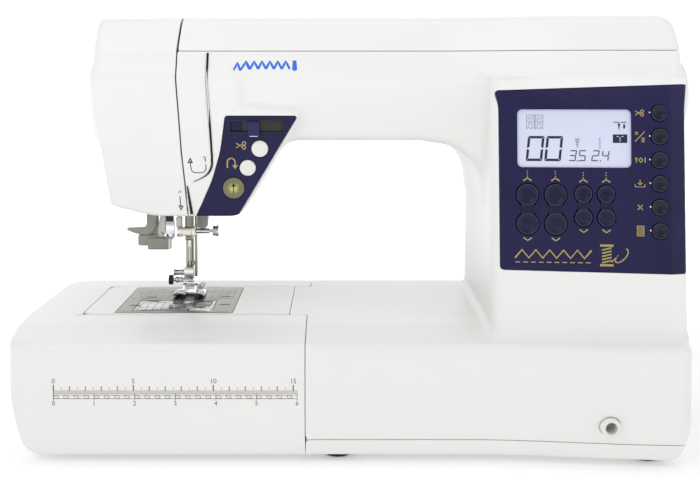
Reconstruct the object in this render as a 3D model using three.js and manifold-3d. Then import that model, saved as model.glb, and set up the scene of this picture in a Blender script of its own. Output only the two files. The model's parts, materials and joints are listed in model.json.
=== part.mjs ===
// Household electronic sewing machine: a C-shaped body with a free arm, an extension table,
// a needle head, a lid over the thread spool, a control panel, and the drive inside.
// Millimetres, +Z up. X runs along the bed towards the hand wheel, and Y from the user to the back.
// The origin is at the middle of the machine's footprint, on the surface that it stands on.
import * as THREE from "three";
import { mergeVertices } from "three/addons/utils/BufferGeometryUtils.js";
import Module from "manifold-3d";

const wasm = await Module();
wasm.setup();

// ---- Driving dimensions --------------------------------------------------------------------

const GAP = 0.4; // between pieces that touch
const SEAM = 0.5; // between two covers
const WALL = 2.6; // thickness of the plastic covers
const ARC_STEP = 18; // degrees between the points of an arc
const FAR = 130; // beyond every face of the body, front and back

const LEFT = -228.5; // left end of the extension table
const RIGHT = 204; // right side of the column and base
const BACK = 99; // back of the base and of the column's foot
const BED_FRONT = -87; // front face of the base, left of the column
const BED_TOP = 85.8; // height of the bed's top and of the needle plate
const BED_CREASE = 75.8; // where the bed's top turns down into the front face
const BASE_TURN = 37.2; // where the front face starts to lean in
const BASE_BOTTOM = 3; // underside of the base, on its feet
const PAN_TOP = 16; // seam between the base pan and the front cover
const BOW_START = 60; // where the front starts to bow out towards the right
const BOW = 12; // how far it has bowed out at the right end

const COLUMN_LEFT = 80; // inner face of the column, at the end of the throat
const COLUMN_FRONT = -73; // front of the column at its foot, on its left
const COLUMN_SWING = 9; // how much nearer the user the column's right side is
const COLUMN_LEAN = 13; // how far the column's front leans back up to the crease

const ARM_BOTTOM = 202; // underside of the arm, at the top of the throat
const ARM_CREASE = 243; // ridge along the arm's front
const ARM_TOP = 287.5;
const ARM_FRONT = -42; // where the ridge is
const ARM_BACK = 88;
const LID_SEAM = 262; // lower edge of the lid
const DECK = 255; // floor of the spool well under the lid
const THROAT_RADIUS = 38;

const HEAD_LEFT = -183;
const HEAD_BOTTOM = 150.5;
const HEAD_LEAN = 14; // how far the head's front leans back from the ridge down to its bottom
const SPLIT_Y = 31; // seam between the front and the rear cover, above the bed

const TABLE_SEAM = -38.5; // right edge of the extension table
const ARM_SEAM = -50.5; // right end of the free arm's cover
const FREE = { left: -190, front: -31.5, back: 69, bottom: 20 };

const NEEDLE = { x: -125, y: 27 }; // the needle bar's axis
const PRESSER = { x: -126.5, y: 41 }; // the presser bar's axis
const HOOK = { x: -125, y: 2 }; // the rotary hook's axis
const SHAFT = { y: 27, z: 232, radius: 6 }; // the main shaft
const LOWER = { y: 27, z: 44, radius: 4 }; // the lower shaft
const MOTOR = { y: -20, z: 52, radius: 26 };
const CRANK = 16.5; // throw of the crank, half the needle's stroke
const ROD = 37.5; // length of the connecting rod between its eyes
const STUD_Z = SHAFT.z + CRANK - ROD; // the rod's lower eye, with the needle at its highest
const TIMING = { x: 105, width: 10, radius: 14 }; // pulleys of the belt between the shafts
const DRIVE = { x: 118, width: 8, small: 7, large: 17 }; // pulleys of the motor's belt
const WEB = { front: 58, back: 63 }; // the frame's plate

const PLATE = { left: -169, right: -89, front: -28.5, back: 66, thick: 2.2 };
const COVER = { left: -158, right: -104, front: -21, back: 15 }; // the bobbin cover

// ---- Geometry helpers ----------------------------------------------------------------------

// A closed geometry as a solid that can be joined and cut.
function solid(geometry) {
  const bare = geometry.clone();
  bare.deleteAttribute("normal");
  bare.deleteAttribute("uv");
  const merged = mergeVertices(bare, 1e-4);
  const mesh = new wasm.Mesh({
    numProp: 3,
    vertProperties: new Float32Array(merged.attributes.position.array),
    triVerts: new Uint32Array(merged.index.array),
  });
  return new wasm.Manifold(mesh);
}

// A solid's largest piece as a geometry.
function geometryOf(made) {
  const largest = made.decompose().sort((a, b) => b.volume() - a.volume())[0];
  const mesh = largest.getMesh();
  const geometry = new THREE.BufferGeometry();
  geometry.setAttribute("position", new THREE.BufferAttribute(mesh.vertProperties, 3));
  geometry.setIndex(new THREE.BufferAttribute(mesh.triVerts, 1));
  return geometry;
}

const combine = (how) => (...parts) => geometryOf(parts.map(solid).reduce((a, b) => a[how](b)));
const join = combine("add");
const cut = combine("subtract");
const common = combine("intersect");

// A box between two corners.
function block([x0, y0, z0], [x1, y1, z1]) {
  const geometry = new THREE.BoxGeometry(x1 - x0, y1 - y0, z1 - z0);
  return geometry.translate((x0 + x1) / 2, (y0 + y1) / 2, (z0 + z1) / 2);
}

// Turns a geometry that was made along +Z so that it runs along another axis.
function along(geometry, axis) {
  if (axis === "x") return geometry.rotateY(Math.PI / 2);
  if (axis === "y") return geometry.rotateX(-Math.PI / 2);
  return geometry;
}

// A round bar or cone from a point, running for a length along an axis.
function bar(radius, length, from, axis = "z", sides = 16) {
  const geometry = new THREE.CylinderGeometry(radius, radius, length, sides);
  geometry.rotateX(Math.PI / 2).translate(0, 0, length / 2);
  return along(geometry, axis).translate(...from);
}

// A turned piece: its profile of [radius, height] starts and ends on the axis, or closes on itself.
function turned(profile, from, axis = "z", sides = 16) {
  const points = profile.map(([r, h]) => new THREE.Vector2(r, h));
  const geometry = new THREE.LatheGeometry(points, sides).rotateX(Math.PI / 2);
  return along(geometry, axis).translate(...from);
}

// The points of a closed outline whose corners are [u, v, radius].
function outline(corners) {
  const points = [];
  corners.forEach(([u, v, radius = 0], i) => {
    const here = new THREE.Vector2(u, v);
    if (radius < 0.05) {
      points.push(here);
      return;
    }
    const neighbour = (k) => {
      const [x, y] = corners[(i + k + corners.length) % corners.length];
      return new THREE.Vector2(x, y).sub(here).normalize();
    };
    const [before, after] = [neighbour(-1), neighbour(1)];
    const half = Math.acos(THREE.MathUtils.clamp(before.dot(after), -1, 1)) / 2;
    const centre = before.clone().add(after).normalize();
    centre.multiplyScalar(radius / Math.sin(half)).add(here);
    const start = here.clone().addScaledVector(before, radius / Math.tan(half)).sub(centre);
    const turn = Math.PI - 2 * half;
    const way = Math.sign(after.cross(before));
    const steps = Math.max(2, Math.round(THREE.MathUtils.radToDeg(turn) / ARC_STEP));
    for (let k = 0; k <= steps; k++) {
      const spoke = start.clone().rotateAround(new THREE.Vector2(), (way * turn * k) / steps);
      points.push(spoke.add(centre));
    }
  });
  return points;
}

// The corners of a counterclockwise outline moved inwards by a distance, with their radii.
function inset(corners, distance) {
  const n = corners.length;
  return corners.map(([u, v, radius = 0], i) => {
    const [pu, pv] = corners[(i + n - 1) % n];
    const [nu, nv] = corners[(i + 1) % n];
    const a = new THREE.Vector2(u - pu, v - pv).normalize();
    const b = new THREE.Vector2(nu - u, nv - v).normalize();
    const shift = new THREE.Vector2(-a.y - b.y, a.x + b.x);
    shift.multiplyScalar(distance / (1 + a.dot(b)));
    const kept = radius ? Math.max(0, radius - Math.sign(a.cross(b)) * distance) : 0;
    return [u + shift.x, v + shift.y, kept];
  });
}

// A prism of an outline in the plane named by two axes, between two places on the third.
function prism(plane, corners, from, to) {
  const shape = new THREE.Shape(outline(corners));
  const geometry = new THREE.ExtrudeGeometry(shape, { depth: to - from, bevelEnabled: false });
  if (plane === "yz") geometry.rotateY(Math.PI / 2).rotateX(Math.PI / 2).translate(from, 0, 0);
  if (plane === "xz") geometry.rotateX(Math.PI / 2).translate(0, to, 0);
  if (plane === "xy") geometry.translate(0, 0, from);
  return geometry;
}

// A skin through rings of the same number of points, closed by a flat cap at each end.
function loft(rings, capPlane) {
  const count = rings[0].length;
  const index = [];
  for (let r = 0; r + 1 < rings.length; r++) {
    for (let i = 0; i < count; i++) {
      const [a, b] = [r * count + i, r * count + ((i + 1) % count)];
      index.push(a, b, b + count, a, b + count, a + count);
    }
  }
  const flat = (ring) => ring.map((p) => new THREE.Vector2(p[capPlane[0]], p[capPlane[1]]));
  const last = (rings.length - 1) * count;
  for (const [a, b, c] of THREE.ShapeUtils.triangulateShape(flat(rings[0]), [])) {
    index.push(a, c, b);
  }
  for (const [a, b, c] of THREE.ShapeUtils.triangulateShape(flat(rings.at(-1)), [])) {
    index.push(last + a, last + b, last + c);
  }
  const geometry = new THREE.BufferGeometry();
  const positions = rings.flat().flatMap((p) => p.toArray());
  geometry.setAttribute("position", new THREE.Float32BufferAttribute(positions, 3));
  return geometry.setIndex(index);
}

// A strip of a given width along a path of [u, v] points.
function ribbon(path, width) {
  const points = path.map(([u, v]) => new THREE.Vector2(u, v));
  const side = (sign) =>
    points.map((p, i) => {
      const before = points[Math.max(i - 1, 0)];
      const after = points[Math.min(i + 1, points.length - 1)];
      const way = after.clone().sub(before).normalize();
      return [p.x - (sign * way.y * width) / 2, p.y + (sign * way.x * width) / 2];
    });
  return [...side(-1), ...side(1).reverse()];
}

// ---- The body's outer form, drawn in by a distance ------------------------------------------

// How far the front stands out of its straight line at x.
function bow(x, full, start, end) {
  const t = THREE.MathUtils.clamp((x - start) / (end - start), 0, 1);
  return full * t * t * (3 - 2 * t);
}

// A side profile run along X, with its front half moved out by a bow.
function bowed(corners, x0, x1, full, start, end) {
  const steps = 6;
  const stations = Array.from({ length: steps + 1 }, (_, k) => start + ((end - start) * k) / steps);
  const points = outline(corners);
  const ring = (x) => {
    const out = bow(x, full, start, end);
    return points.map((p) => new THREE.Vector3(x, p.x < 0 ? p.x - out : p.x, p.y));
  };
  return loft([x0, ...stations, x1].map(ring), ["y", "z"]);
}

function baseForm(wall) {
  const side = [
    [BED_FRONT + 10, BASE_BOTTOM, 3],
    [BACK - 8, BASE_BOTTOM, 3],
    [BACK, BASE_TURN],
    [BACK, BED_TOP, 5],
    [-24, BED_TOP],
    [-52, BED_TOP - 1.6],
    [BED_FRONT + 2, BED_CREASE + 1.4, 5],
    [BED_FRONT, BASE_TURN + 30],
    [BED_FRONT, BASE_TURN],
  ];
  const plan = [
    [LEFT, BED_FRONT, 28],
    [BOW_START, BED_FRONT],
    [BOW_START + 70, BED_FRONT - BOW],
    [RIGHT, BED_FRONT - BOW, 12],
    [RIGHT, BACK, 12],
    [LEFT, BACK, 20],
  ];
  const front = [
    [LEFT + 14, BASE_BOTTOM, 14],
    [RIGHT - 9, BASE_BOTTOM, 4],
    [RIGHT, BASE_BOTTOM + 22],
    [RIGHT, BED_TOP + 5],
    [LEFT, BED_TOP + 5],
    [LEFT, BASE_TURN + 6, 12],
  ];
  return common(
    bowed(inset(side, wall), LEFT - 5, RIGHT + 5, BOW, BOW_START, RIGHT),
    prism("xy", inset(plan, wall), 0, 100),
    prism("xz", inset(front, wall), -FAR, FAR),
  );
}

// The column's front at a place, without its rounded corners.
function columnFront(x, z) {
  const up = (z - BED_TOP) / (ARM_CREASE - BED_TOP);
  const across = (x - COLUMN_LEFT) / (RIGHT - 17 - COLUMN_LEFT);
  return COLUMN_FRONT + COLUMN_LEAN * up - COLUMN_SWING * across;
}

function columnForm(wall) {
  const ring = (z) => {
    const up = (z - BED_TOP) / (ARM_CREASE - BED_TOP);
    const back = BACK - (BACK - ARM_BACK) * Math.max(up, 0);
    const plan = [
      [COLUMN_LEFT, columnFront(COLUMN_LEFT, z), 7],
      [RIGHT - 17, columnFront(RIGHT - 17, z), 10],
      [RIGHT - 1, columnFront(RIGHT - 17, z) + 14, 8],
      [RIGHT - 1, back, 14],
      [COLUMN_LEFT, back, 14],
    ];
    return outline(inset(plan, wall)).map((p) => new THREE.Vector3(p.x, p.y, z));
  };
  return loft([60, BED_TOP, ARM_CREASE].map(ring), ["x", "y"]);
}

function armForm(wall) {
  const side = [
    [ARM_FRONT + 18, ARM_BOTTOM, 5],
    [ARM_BACK - 8, ARM_BOTTOM, 8],
    [ARM_BACK, ARM_BOTTOM + 25],
    [ARM_BACK, LID_SEAM],
    [ARM_BACK - 6, ARM_TOP, 14],
    [ARM_FRONT + 16, ARM_TOP, 18],
    [ARM_FRONT + 3, LID_SEAM],
    [ARM_FRONT, ARM_CREASE, 6],
  ];
  const front = [
    [HEAD_LEFT, ARM_BOTTOM],
    [RIGHT, ARM_BOTTOM],
    [RIGHT, LID_SEAM],
    [RIGHT - 6, ARM_TOP, 10],
    [HEAD_LEFT + 4.5, ARM_TOP - 1, 4],
    [HEAD_LEFT, ARM_CREASE + 8, 20],
  ];
  const plan = [
    [HEAD_LEFT, ARM_FRONT - 1, 16],
    [40, ARM_FRONT - 1],
    [95, ARM_FRONT - 30],
    [RIGHT, ARM_FRONT - 30, 14],
    [RIGHT, ARM_BACK, 14],
    [HEAD_LEFT, ARM_BACK, 22],
  ];
  return common(
    bowed(inset(side, wall), HEAD_LEFT - 5, RIGHT + 5, 24, 45, 140),
    prism("xz", inset(front, wall), -FAR, FAR),
    prism("xy", inset(plan, wall), 150, 300),
  );
}

function headForm(wall) {
  const side = [
    [ARM_FRONT + HEAD_LEAN, HEAD_BOTTOM, 4],
    [ARM_BACK - 12, HEAD_BOTTOM, 8],
    [ARM_BACK, HEAD_BOTTOM + 30],
    [ARM_BACK, ARM_CREASE],
    [ARM_FRONT, ARM_CREASE],
  ];
  const front = [
    [-140, HEAD_BOTTOM, 40],
    [-84, HEAD_BOTTOM, 12],
    [-52, ARM_BOTTOM + 2],
    [-43.5, 220],
    [-86, 222],
    [-88, ARM_CREASE],
    [HEAD_LEFT, ARM_CREASE],
    [HEAD_LEFT + 12, HEAD_BOTTOM + 8, 6],
  ];
  const plan = [
    [HEAD_LEFT, ARM_FRONT - 1, 16],
    [-40, ARM_FRONT - 1],
    [-40, ARM_BACK],
    [HEAD_LEFT, ARM_BACK, 22],
  ];
  return common(
    prism("yz", inset(side, wall), HEAD_LEFT - 5, -40),
    prism("xz", inset(front, wall), -FAR, FAR),
    prism("xy", inset(plan, wall), 140, 300),
  );
}

// The round corner between the underside of the arm and the column.
function throatCorner(wall) {
  const r = THROAT_RADIUS;
  const arc = outline([
    [COLUMN_LEFT, ARM_BOTTOM - r],
    [COLUMN_LEFT, ARM_BOTTOM, r],
    [COLUMN_LEFT - r, ARM_BOTTOM],
  ]).slice(1, -1);
  const corners = [
    ...arc.map((p) => [p.x + wall, p.y + wall]),
    [COLUMN_LEFT - r, ARM_BOTTOM + 8],
    [COLUMN_LEFT + 8, ARM_BOTTOM + 8],
    [COLUMN_LEFT + 8, ARM_BOTTOM - r],
  ];
  return prism("xz", corners.reverse(), ARM_FRONT + 16 + wall, ARM_BACK - 8 - wall);
}

// The body without the extension table and the free arm. Its hollow is open towards the free arm.
function bodyForm(wall) {
  const right = block([TABLE_SEAM + SEAM + wall, -FAR, 0], [FAR + RIGHT, FAR, 120]);
  const collar = block(
    [ARM_SEAM + SEAM - 2 * wall, FREE.front + wall, FREE.bottom + wall],
    [0, FREE.back - wall, BED_TOP - wall],
  );
  return join(
    common(baseForm(wall), right),
    collar,
    columnForm(wall),
    armForm(wall),
    headForm(wall),
    throatCorner(wall),
  );
}

// ---- Covers --------------------------------------------------------------------------------

const shell = cut(bodyForm(0), bodyForm(WALL));

// The seam beside the needle, from the top of the lid down to the bottom of the head, moved by x.
const faceSeam = (dx) => [
  [-121 + dx, 300],
  [-124.3 + dx, LID_SEAM],
  [-124.6 + dx, ARM_CREASE],
  [-122.4 + dx, 195],
  [-120.2 + dx, 171],
  [-118 + dx, 140],
];
const leftOfSeam = (dx) =>
  prism("xz", [...faceSeam(dx), [-200, 140], [-200, 300]].reverse(), -FAR, FAR);
const rightOfSeam = (dx) =>
  prism("xz", [...faceSeam(dx), [220, 140], [220, 300]], -FAR, FAR);

// What the needle bar, the presser bar, the threader and the presser lever pass through.
const headOpening = block([-158, 10, 145], [-104, 60, 164]);
const leverOpening = block([-106, 46, 145], [-84, 59.5, 160]);

// The slot that leads the thread down the front of the head and round to the needle.
const THREAD_PATH = [
  [-104, LID_SEAM + 1],
  [-104.1, 242],
  [-101.7, 188.3],
  [-103.2, 181.5],
  [-107.4, 176.1],
  [-114, 172.6],
];
const threadSlot = prism("xz", ribbon(THREAD_PATH, 1.6), -60, -15);

const lidZone = common(
  rightOfSeam(0.8),
  block([-200, -FAR, LID_SEAM + SEAM / 2], [FAR + RIGHT, FAR, 300]),
);
const LID_HINGE = { y: ARM_BACK + 2.8, z: LID_SEAM, radius: 2.4, places: [-60, 150], width: 12 };

// Barrels of the lid's hinges: the lid's middle ones, or the rear cover's outer ones with the pin.
function hingeBarrels(ofLid) {
  const { y, z, radius, places, width } = LID_HINGE;
  const barrels = places.flatMap((x) => {
    if (ofLid) {
      const arm = block([x - 5, y - 5.5, z + 0.6], [x + 5, y, z + 2.2]);
      const barrel = join(bar(radius, 10, [x - 5, y, z], "x", 12), arm);
      return [cut(barrel, bar(1.5, 20, [x - 10, y, z], "x", 8))];
    }
    const starts = [x - width, x + 5.5];
    const ear = width - 5.5;
    const ears = starts.map((from) => bar(radius, ear, [from, y, z], "x", 12));
    const arms = starts.map((from) => block([from, y - 4, z - 2.2], [from + ear, y, z - 0.6]));
    return [...ears, ...arms, bar(1, 2 * width, [x - width, y, z], "x", 8)];
  });
  return barrels;
}

function topLid() {
  return join(common(shell, lidZone), ...hingeBarrels(true));
}

const faceCover = () => cut(common(shell, leftOfSeam(0)), headOpening);

// The front cover holds the whole bed, and the front halves of the column, arm and head.
const frontZone = join(
  block([-200, -FAR, PAN_TOP + SEAM / 2], [FAR + RIGHT, BACK - 10, BED_TOP + 8]),
  block([-200, -FAR, PAN_TOP + SEAM / 2], [FAR + RIGHT, SPLIT_Y, LID_SEAM - SEAM / 2]),
);
const rearZone = join(
  block([-200, BACK - 10 + SEAM, PAN_TOP + SEAM / 2], [FAR + RIGHT, FAR, BED_TOP + 8 + SEAM]),
  block([-200, SPLIT_Y + SEAM, BED_TOP + 8 + SEAM], [FAR + RIGHT, FAR, LID_SEAM - SEAM / 2]),
);
const bodyRight = join(rightOfSeam(0.8), block([-60, -FAR, 0], [FAR + RIGHT, FAR, 141]));

// ---- Control panel -------------------------------------------------------------------------

const panelWays = (() => {
  const across = new THREE.Vector3(1, columnFront(1, 0) - columnFront(0, 0), 0).normalize();
  const up = new THREE.Vector3(0, columnFront(0, 1) - columnFront(0, 0), 1);
  const out = across.clone().cross(up).normalize();
  return [across, out.clone().cross(across), out];
})();
const headWays = (() => {
  const up = new THREE.Vector3(0, -HEAD_LEAN, ARM_CREASE - HEAD_BOTTOM).normalize();
  const across = new THREE.Vector3(1, 0, 0);
  return [across, up, across.clone().cross(up)];
})();

// Moves a geometry that was made round the origin, facing +Z, onto the control panel.
function onPanel(geometry, x, z) {
  const place = new THREE.Matrix4().makeBasis(...panelWays).setPosition(x, columnFront(x, z), z);
  return geometry.clone().applyMatrix4(place);
}

// The same on the panel of the head.
function onHead(geometry, x, z) {
  const y = ARM_FRONT + (HEAD_LEAN * (ARM_CREASE - z)) / (ARM_CREASE - HEAD_BOTTOM);
  const place = new THREE.Matrix4().makeBasis(...headWays).setPosition(x, y, z);
  return geometry.clone().applyMatrix4(place);
}

const PANEL_CORNERS = [
  [85.5, 122.5, 3],
  [194, 121, 3],
  [230, 121],
  [230, 241],
  [82.2, 236, 5],
  [85, 226, 4],
];
const DISPLAY = { x: 132.3, z: 205.8, width: 71, height: 36.5 };
// Rocker keys, each with two round ends: x, middle z, radius of the ends, half the distance between.
const ROCKERS = [
  [102.8, 160.8, 7.2, 9.2],
  [120.4, 160.8, 7.2, 9.2],
  [137.8, 163.2, 5.8, 7.5],
  [152, 163.2, 5.8, 7.5],
];
const FUNCTION_KEYS = Array.from({ length: 6 }, (_, k) => [185.3, 222 - 14.85 * k]);
const KEY_RADIUS = 5.3;
const KEY_RAISE = 1.1; // how far keys stand out of the panel
const KEY_DEPTH = 5; // how far they reach in behind it

const panelZone = (grow) => prism("xz", inset(PANEL_CORNERS, -grow), -FAR, -56 + grow);

// A rocker key's outline as a solid between two heights, widened by a clearance.
function rockerForm([, , radius, half], grow, low, high) {
  const ends = [-half, half].map((v) => bar(radius + grow, high - low, [0, v, low], "z", 14));
  const waist = radius * 0.55 + grow;
  return join(...ends, block([-waist, -half, low], [waist, half, high]));
}

const displayForm = (grow, low, high) =>
  block(
    [-DISPLAY.width / 2 - grow, -DISPLAY.height / 2 - grow, low],
    [DISPLAY.width / 2 + grow, DISPLAY.height / 2 + grow, high],
  );

function controlPanel() {
  const skin = common(cut(columnForm(0), columnForm(WALL)), panelZone(0));
  const holes = [
    onPanel(displayForm(GAP, -15, 15), DISPLAY.x, DISPLAY.z),
    ...ROCKERS.map((key) => onPanel(rockerForm(key, GAP, -15, 15), key[0], key[1])),
    ...FUNCTION_KEYS.map(([x, z]) => onPanel(bar(KEY_RADIUS + GAP, 30, [0, 0, -15], "z", 12), x, z)),
  ];
  return cut(skin, ...holes);
}

// The control board behind the panel, with the display module that stands in the window.
function displayBoard() {
  const board = onPanel(block([-45, -52, -14], [46, 48, -12.4]), 140, 180);
  const module = onPanel(displayForm(0, -12.6, -0.5), DISPLAY.x, DISPLAY.z);
  const chips = onPanel(block([-20, -44, -17], [0, -28, -13.9]), 140, 180);
  return join(board, module, chips);
}

function roundKey(radius) {
  const profile = [
    [0, -KEY_DEPTH],
    [radius, -KEY_DEPTH],
    [radius, KEY_RAISE - 0.6],
    [radius - 0.6, KEY_RAISE],
    [0, KEY_RAISE],
  ];
  return turned(profile, [0, 0, 0], "z", 12);
}

// ---- Panel of the head ---------------------------------------------------------------------

const HEAD_PANEL = [
  [-113.5, 140],
  [-76, 140],
  [-84, 153],
  [-38, 219],
  [-92.5, 219, 2],
  [-96.3, 195],
  [-102.7, 174.7],
];
const SLIDER = { x: -71.6, z: 212, width: 36, height: 8, knob: 8 };
const HEAD_BUTTONS = {
  thread_trim_button: { x: -69.8, z: 197.2, radius: 5.7 },
  reverse_button: { x: -78, z: 184.3, radius: 5.5 },
  start_stop_button: { x: -87.6, z: 170.6, radius: 7.3 },
};
const headPanelZone = (grow) => prism("xz", inset(HEAD_PANEL, -grow), -FAR, -21.5 + grow);

function headPanel() {
  const { x, z, width, height } = SLIDER;
  const slot = onHead(block([-width / 2, -height / 2, -1.4], [width / 2, height / 2, 10]), x, z);
  const through = onHead(block([-width / 2, -1.8, -10], [width / 2, 1.8, 10]), x, z);
  const holes = Object.values(HEAD_BUTTONS).map((b) =>
    onHead(bar(b.radius + GAP, 20, [0, 0, -10], "z", 12), b.x, b.z),
  );
  return cut(common(shell, headPanelZone(0)), slot, through, ...holes);
}

function speedSlider() {
  const { knob, height } = SLIDER;
  const cap = block([-knob / 2, -height / 2 + GAP, -1], [knob / 2, height / 2 - GAP, 2.6]);
  const stem = block([-knob / 4, -1.4, -6], [knob / 4, 1.4, -0.9]);
  const foot = block([-knob / 2, -3.4, -7.4], [knob / 2, 3.4, -5.9]);
  return onHead(join(cap, stem, foot), SLIDER.x - 2, SLIDER.z);
}

// ---- The base's sockets and switch ----------------------------------------------------------

const KNEE = { x: 151, y: BED_FRONT - BOW, z: 28, radius: 6.4 };
const INLET = { y: 44, z: 52, width: 25, height: 19 };
const SWITCH = { y: 12, z: 52, width: 13, height: 20 };

function kneeLiftSocket() {
  const body = bar(KNEE.radius, 20, [KNEE.x, KNEE.y + 1.4, KNEE.z], "y", 24);
  return cut(body, bar(3.6, 14, [KNEE.x, KNEE.y, KNEE.z], "y", 12));
}

function powerInlet() {
  const { y, z, width, height } = INLET;
  const box = (from, to, rim) =>
    block(
      [from, y - width / 2 + rim, z - height / 2 + rim],
      [to, y + width / 2 - rim, z + height / 2 - rim],
    );
  const pins = [-6, 0, 6].map((dy) =>
    block([RIGHT - 15, y + dy - 1, z - 2], [RIGHT - 2, y + dy + 1, z + 2]),
  );
  return join(cut(box(RIGHT - 18, RIGHT + 0.6, 0), box(RIGHT - 14, RIGHT + 5, 2.5)), ...pins);
}

function powerSwitch() {
  const { y, z, width, height } = SWITCH;
  const rocker = [
    [RIGHT - 9, z],
    [RIGHT - 4, z - height / 2],
    [RIGHT + 2.4, z - height / 2],
    [RIGHT + 0.8, z],
    [RIGHT + 1.6, z + height / 2],
    [RIGHT - 4, z + height / 2],
  ];
  return prism("xz", rocker, y - width / 2, y + width / 2);
}

// A hole in the right side, with more room above and below for a piece that rocks.
const sideHole = ({ y, z, width, height }, room = GAP) =>
  block(
    [RIGHT - 12, y - width / 2 - GAP, z - height / 2 - room],
    [RIGHT + 5, y + width / 2 + GAP, z + height / 2 + room],
  );

function frontCover() {
  return cut(
    common(shell, frontZone, bodyRight),
    headOpening,
    leverOpening,
    threadSlot,
    panelZone(GAP),
    headPanelZone(GAP),
    bar(SHAFT.radius + 2, 20, [RIGHT - 10, SHAFT.y, SHAFT.z], "x"),
    bar(KNEE.radius + GAP, 40, [KNEE.x, KNEE.y - 4, KNEE.z], "y", 24),
    sideHole(INLET),
    sideHole(SWITCH, 1),
  );
}

// The rear cover carries the floor of the spool well and the lid's hinges.
function rearCover() {
  const walls = cut(
    common(shell, rearZone, bodyRight),
    headOpening,
    leverOpening,
    bar(SHAFT.radius + 2, 20, [RIGHT - 10, SHAFT.y, SHAFT.z], "x"),
  );
  const deck = block([-95, -28, DECK - 2.4], [196, ARM_BACK - 1, DECK]);
  return join(walls, deck, ...hingeBarrels(false));
}

const basePan = () =>
  common(shell, block([TABLE_SEAM, -FAR, 0], [FAR + RIGHT, FAR, PAN_TOP - SEAM / 2]));

// ---- Free arm and extension table ----------------------------------------------------------

function freeArmForm(wall) {
  const { left, front, back, bottom } = FREE;
  const side = [
    [left, bottom, 12],
    [ARM_SEAM + 3 * wall, bottom],
    [ARM_SEAM + 3 * wall, BED_TOP],
    [left, BED_TOP, 4],
  ];
  const plan = [
    [left, front, 10],
    [0, front],
    [0, back],
    [left, back, 10],
  ];
  return common(
    prism("xz", inset(side, wall), -FAR, FAR),
    prism("xy", inset(plan, wall), 0, 100),
  );
}

function freeArmCover() {
  const plateHole = block(
    [PLATE.left - GAP, PLATE.front - GAP, BED_TOP - 10],
    [PLATE.right + GAP, PLATE.back + GAP, BED_TOP + 5],
  );
  return cut(freeArmForm(0), freeArmForm(WALL), plateHole);
}

const DOOR = { front: -58, back: 72, low: 44, deep: 3.4 };
const doorZone = (grow) =>
  block(
    [LEFT - 5, DOOR.front - grow, DOOR.low - grow],
    [LEFT + DOOR.deep + grow, DOOR.back + grow, 100],
  );

// The room in the table for the free arm, widened by a distance.
const armRoom = (grow) =>
  block([FREE.left - 1 - grow, FREE.front - 0.6 - grow, -10], [0, FREE.back + 0.6 + grow, FAR]);
const leftOfTable = (grow) => block([LEFT - 5, -FAR, 0], [TABLE_SEAM - SEAM - grow, FAR, FAR]);
const storage = cut(common(baseForm(WALL), leftOfTable(WALL)), armRoom(WALL));
const extensionTable = () =>
  cut(common(baseForm(0), leftOfTable(0)), storage, armRoom(0), doorZone(GAP));
const storageDoor = () => cut(common(baseForm(0), doorZone(0)), storage);

// ---- Frame ---------------------------------------------------------------------------------

// A bearing block on the frame's plate with a bore along X for a shaft.
function bearing(shaft, from, to, height) {
  const { y, z, radius } = shaft;
  const body = block([from, y - radius - 4, z - height / 2], [to, WEB.back - 1, z + height / 2]);
  return cut(body, bar(radius + 0.5, to - from + 2, [from - 1, y, z], "x"));
}

function mainFrame() {
  const web = [
    [-184, 26, 8],
    [190, 26, 8],
    [190, 247, 8],
    [-150, 247, 8],
    [-150, 172],
    [-138, 158],
    [-102, 156],
    [-86, 210, 8],
    [108, 210, 20],
    [108, 74, 10],
    [-184, 74, 8],
  ];
  const plate = prism("xz", web, WEB.front, WEB.back);
  const cheek = block([-138, 7, 158], [-133, WEB.front + 1, 247]);
  const guides = [[158, 168], [220, 230]].map(([low, high]) =>
    block([-138, 20, low], [-120.5, WEB.front + 1, high]),
  );
  const bores = [
    bar(3.5, 110, [NEEDLE.x, NEEDLE.y, 150], "z", 20),
    bar(3.5, 110, [PRESSER.x, PRESSER.y, 150], "z", 20),
  ];
  const threaderGuide = block([-157, 33, 190], [-137, WEB.front + 1, 200]);
  const leverPin = bar(2, 10, [-110, 49.5, 160], "y", 12);
  const takeUpPin = bar(1.8, 8.5, [-133.5, 12, 228], "x", 12);
  const hookArm = [
    block([-148, -6, 50], [-118, 8.5, 56]),
    block([-148, 8, 36], [-141, WEB.front + 1, 56]),
  ];
  const hookBores = [
    bar(4.5, 10, [HOOK.x, HOOK.y, 48], "z", 20),
    bar(LOWER.radius + 0.5, 10, [-150, LOWER.y, LOWER.z], "x"),
  ];
  const motorPlate = block([128, MOTOR.y - 24, 30], [131.4, WEB.front + 1, 72]);
  const motorBores = [
    bar(6, 10, [126, MOTOR.y, MOTOR.z], "x"),
    bar(LOWER.radius + 0.5, 10, [126, LOWER.y, LOWER.z], "x"),
  ];
  return join(
    cut(join(plate, cheek, ...guides), ...bores),
    threaderGuide,
    leverPin,
    takeUpPin,
    cut(join(...hookArm), ...hookBores),
    cut(motorPlate, ...motorBores),
    bearing(SHAFT, -106, -98, 24),
    bearing(SHAFT, 90, 98, 24),
    bearing(SHAFT, 178, 186, 24),
    bearing(LOWER, -98, -90, 20),
    bearing(LOWER, 60, 68, 20),
  );
}

// ---- Drive ---------------------------------------------------------------------------------

// A pulley with two flanges on a shaft along X.
function pulley(radius, from, width, y, z) {
  const profile = [
    [0, -1.5],
    [radius + 1.6, -1.5],
    [radius + 1.6, -0.4],
    [radius, -0.4],
    [radius, width + 0.4],
    [radius + 1.6, width + 0.4],
    [radius + 1.6, width + 1.5],
    [0, width + 1.5],
  ];
  return turned(profile, [from, y, z], "x");
}

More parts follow.
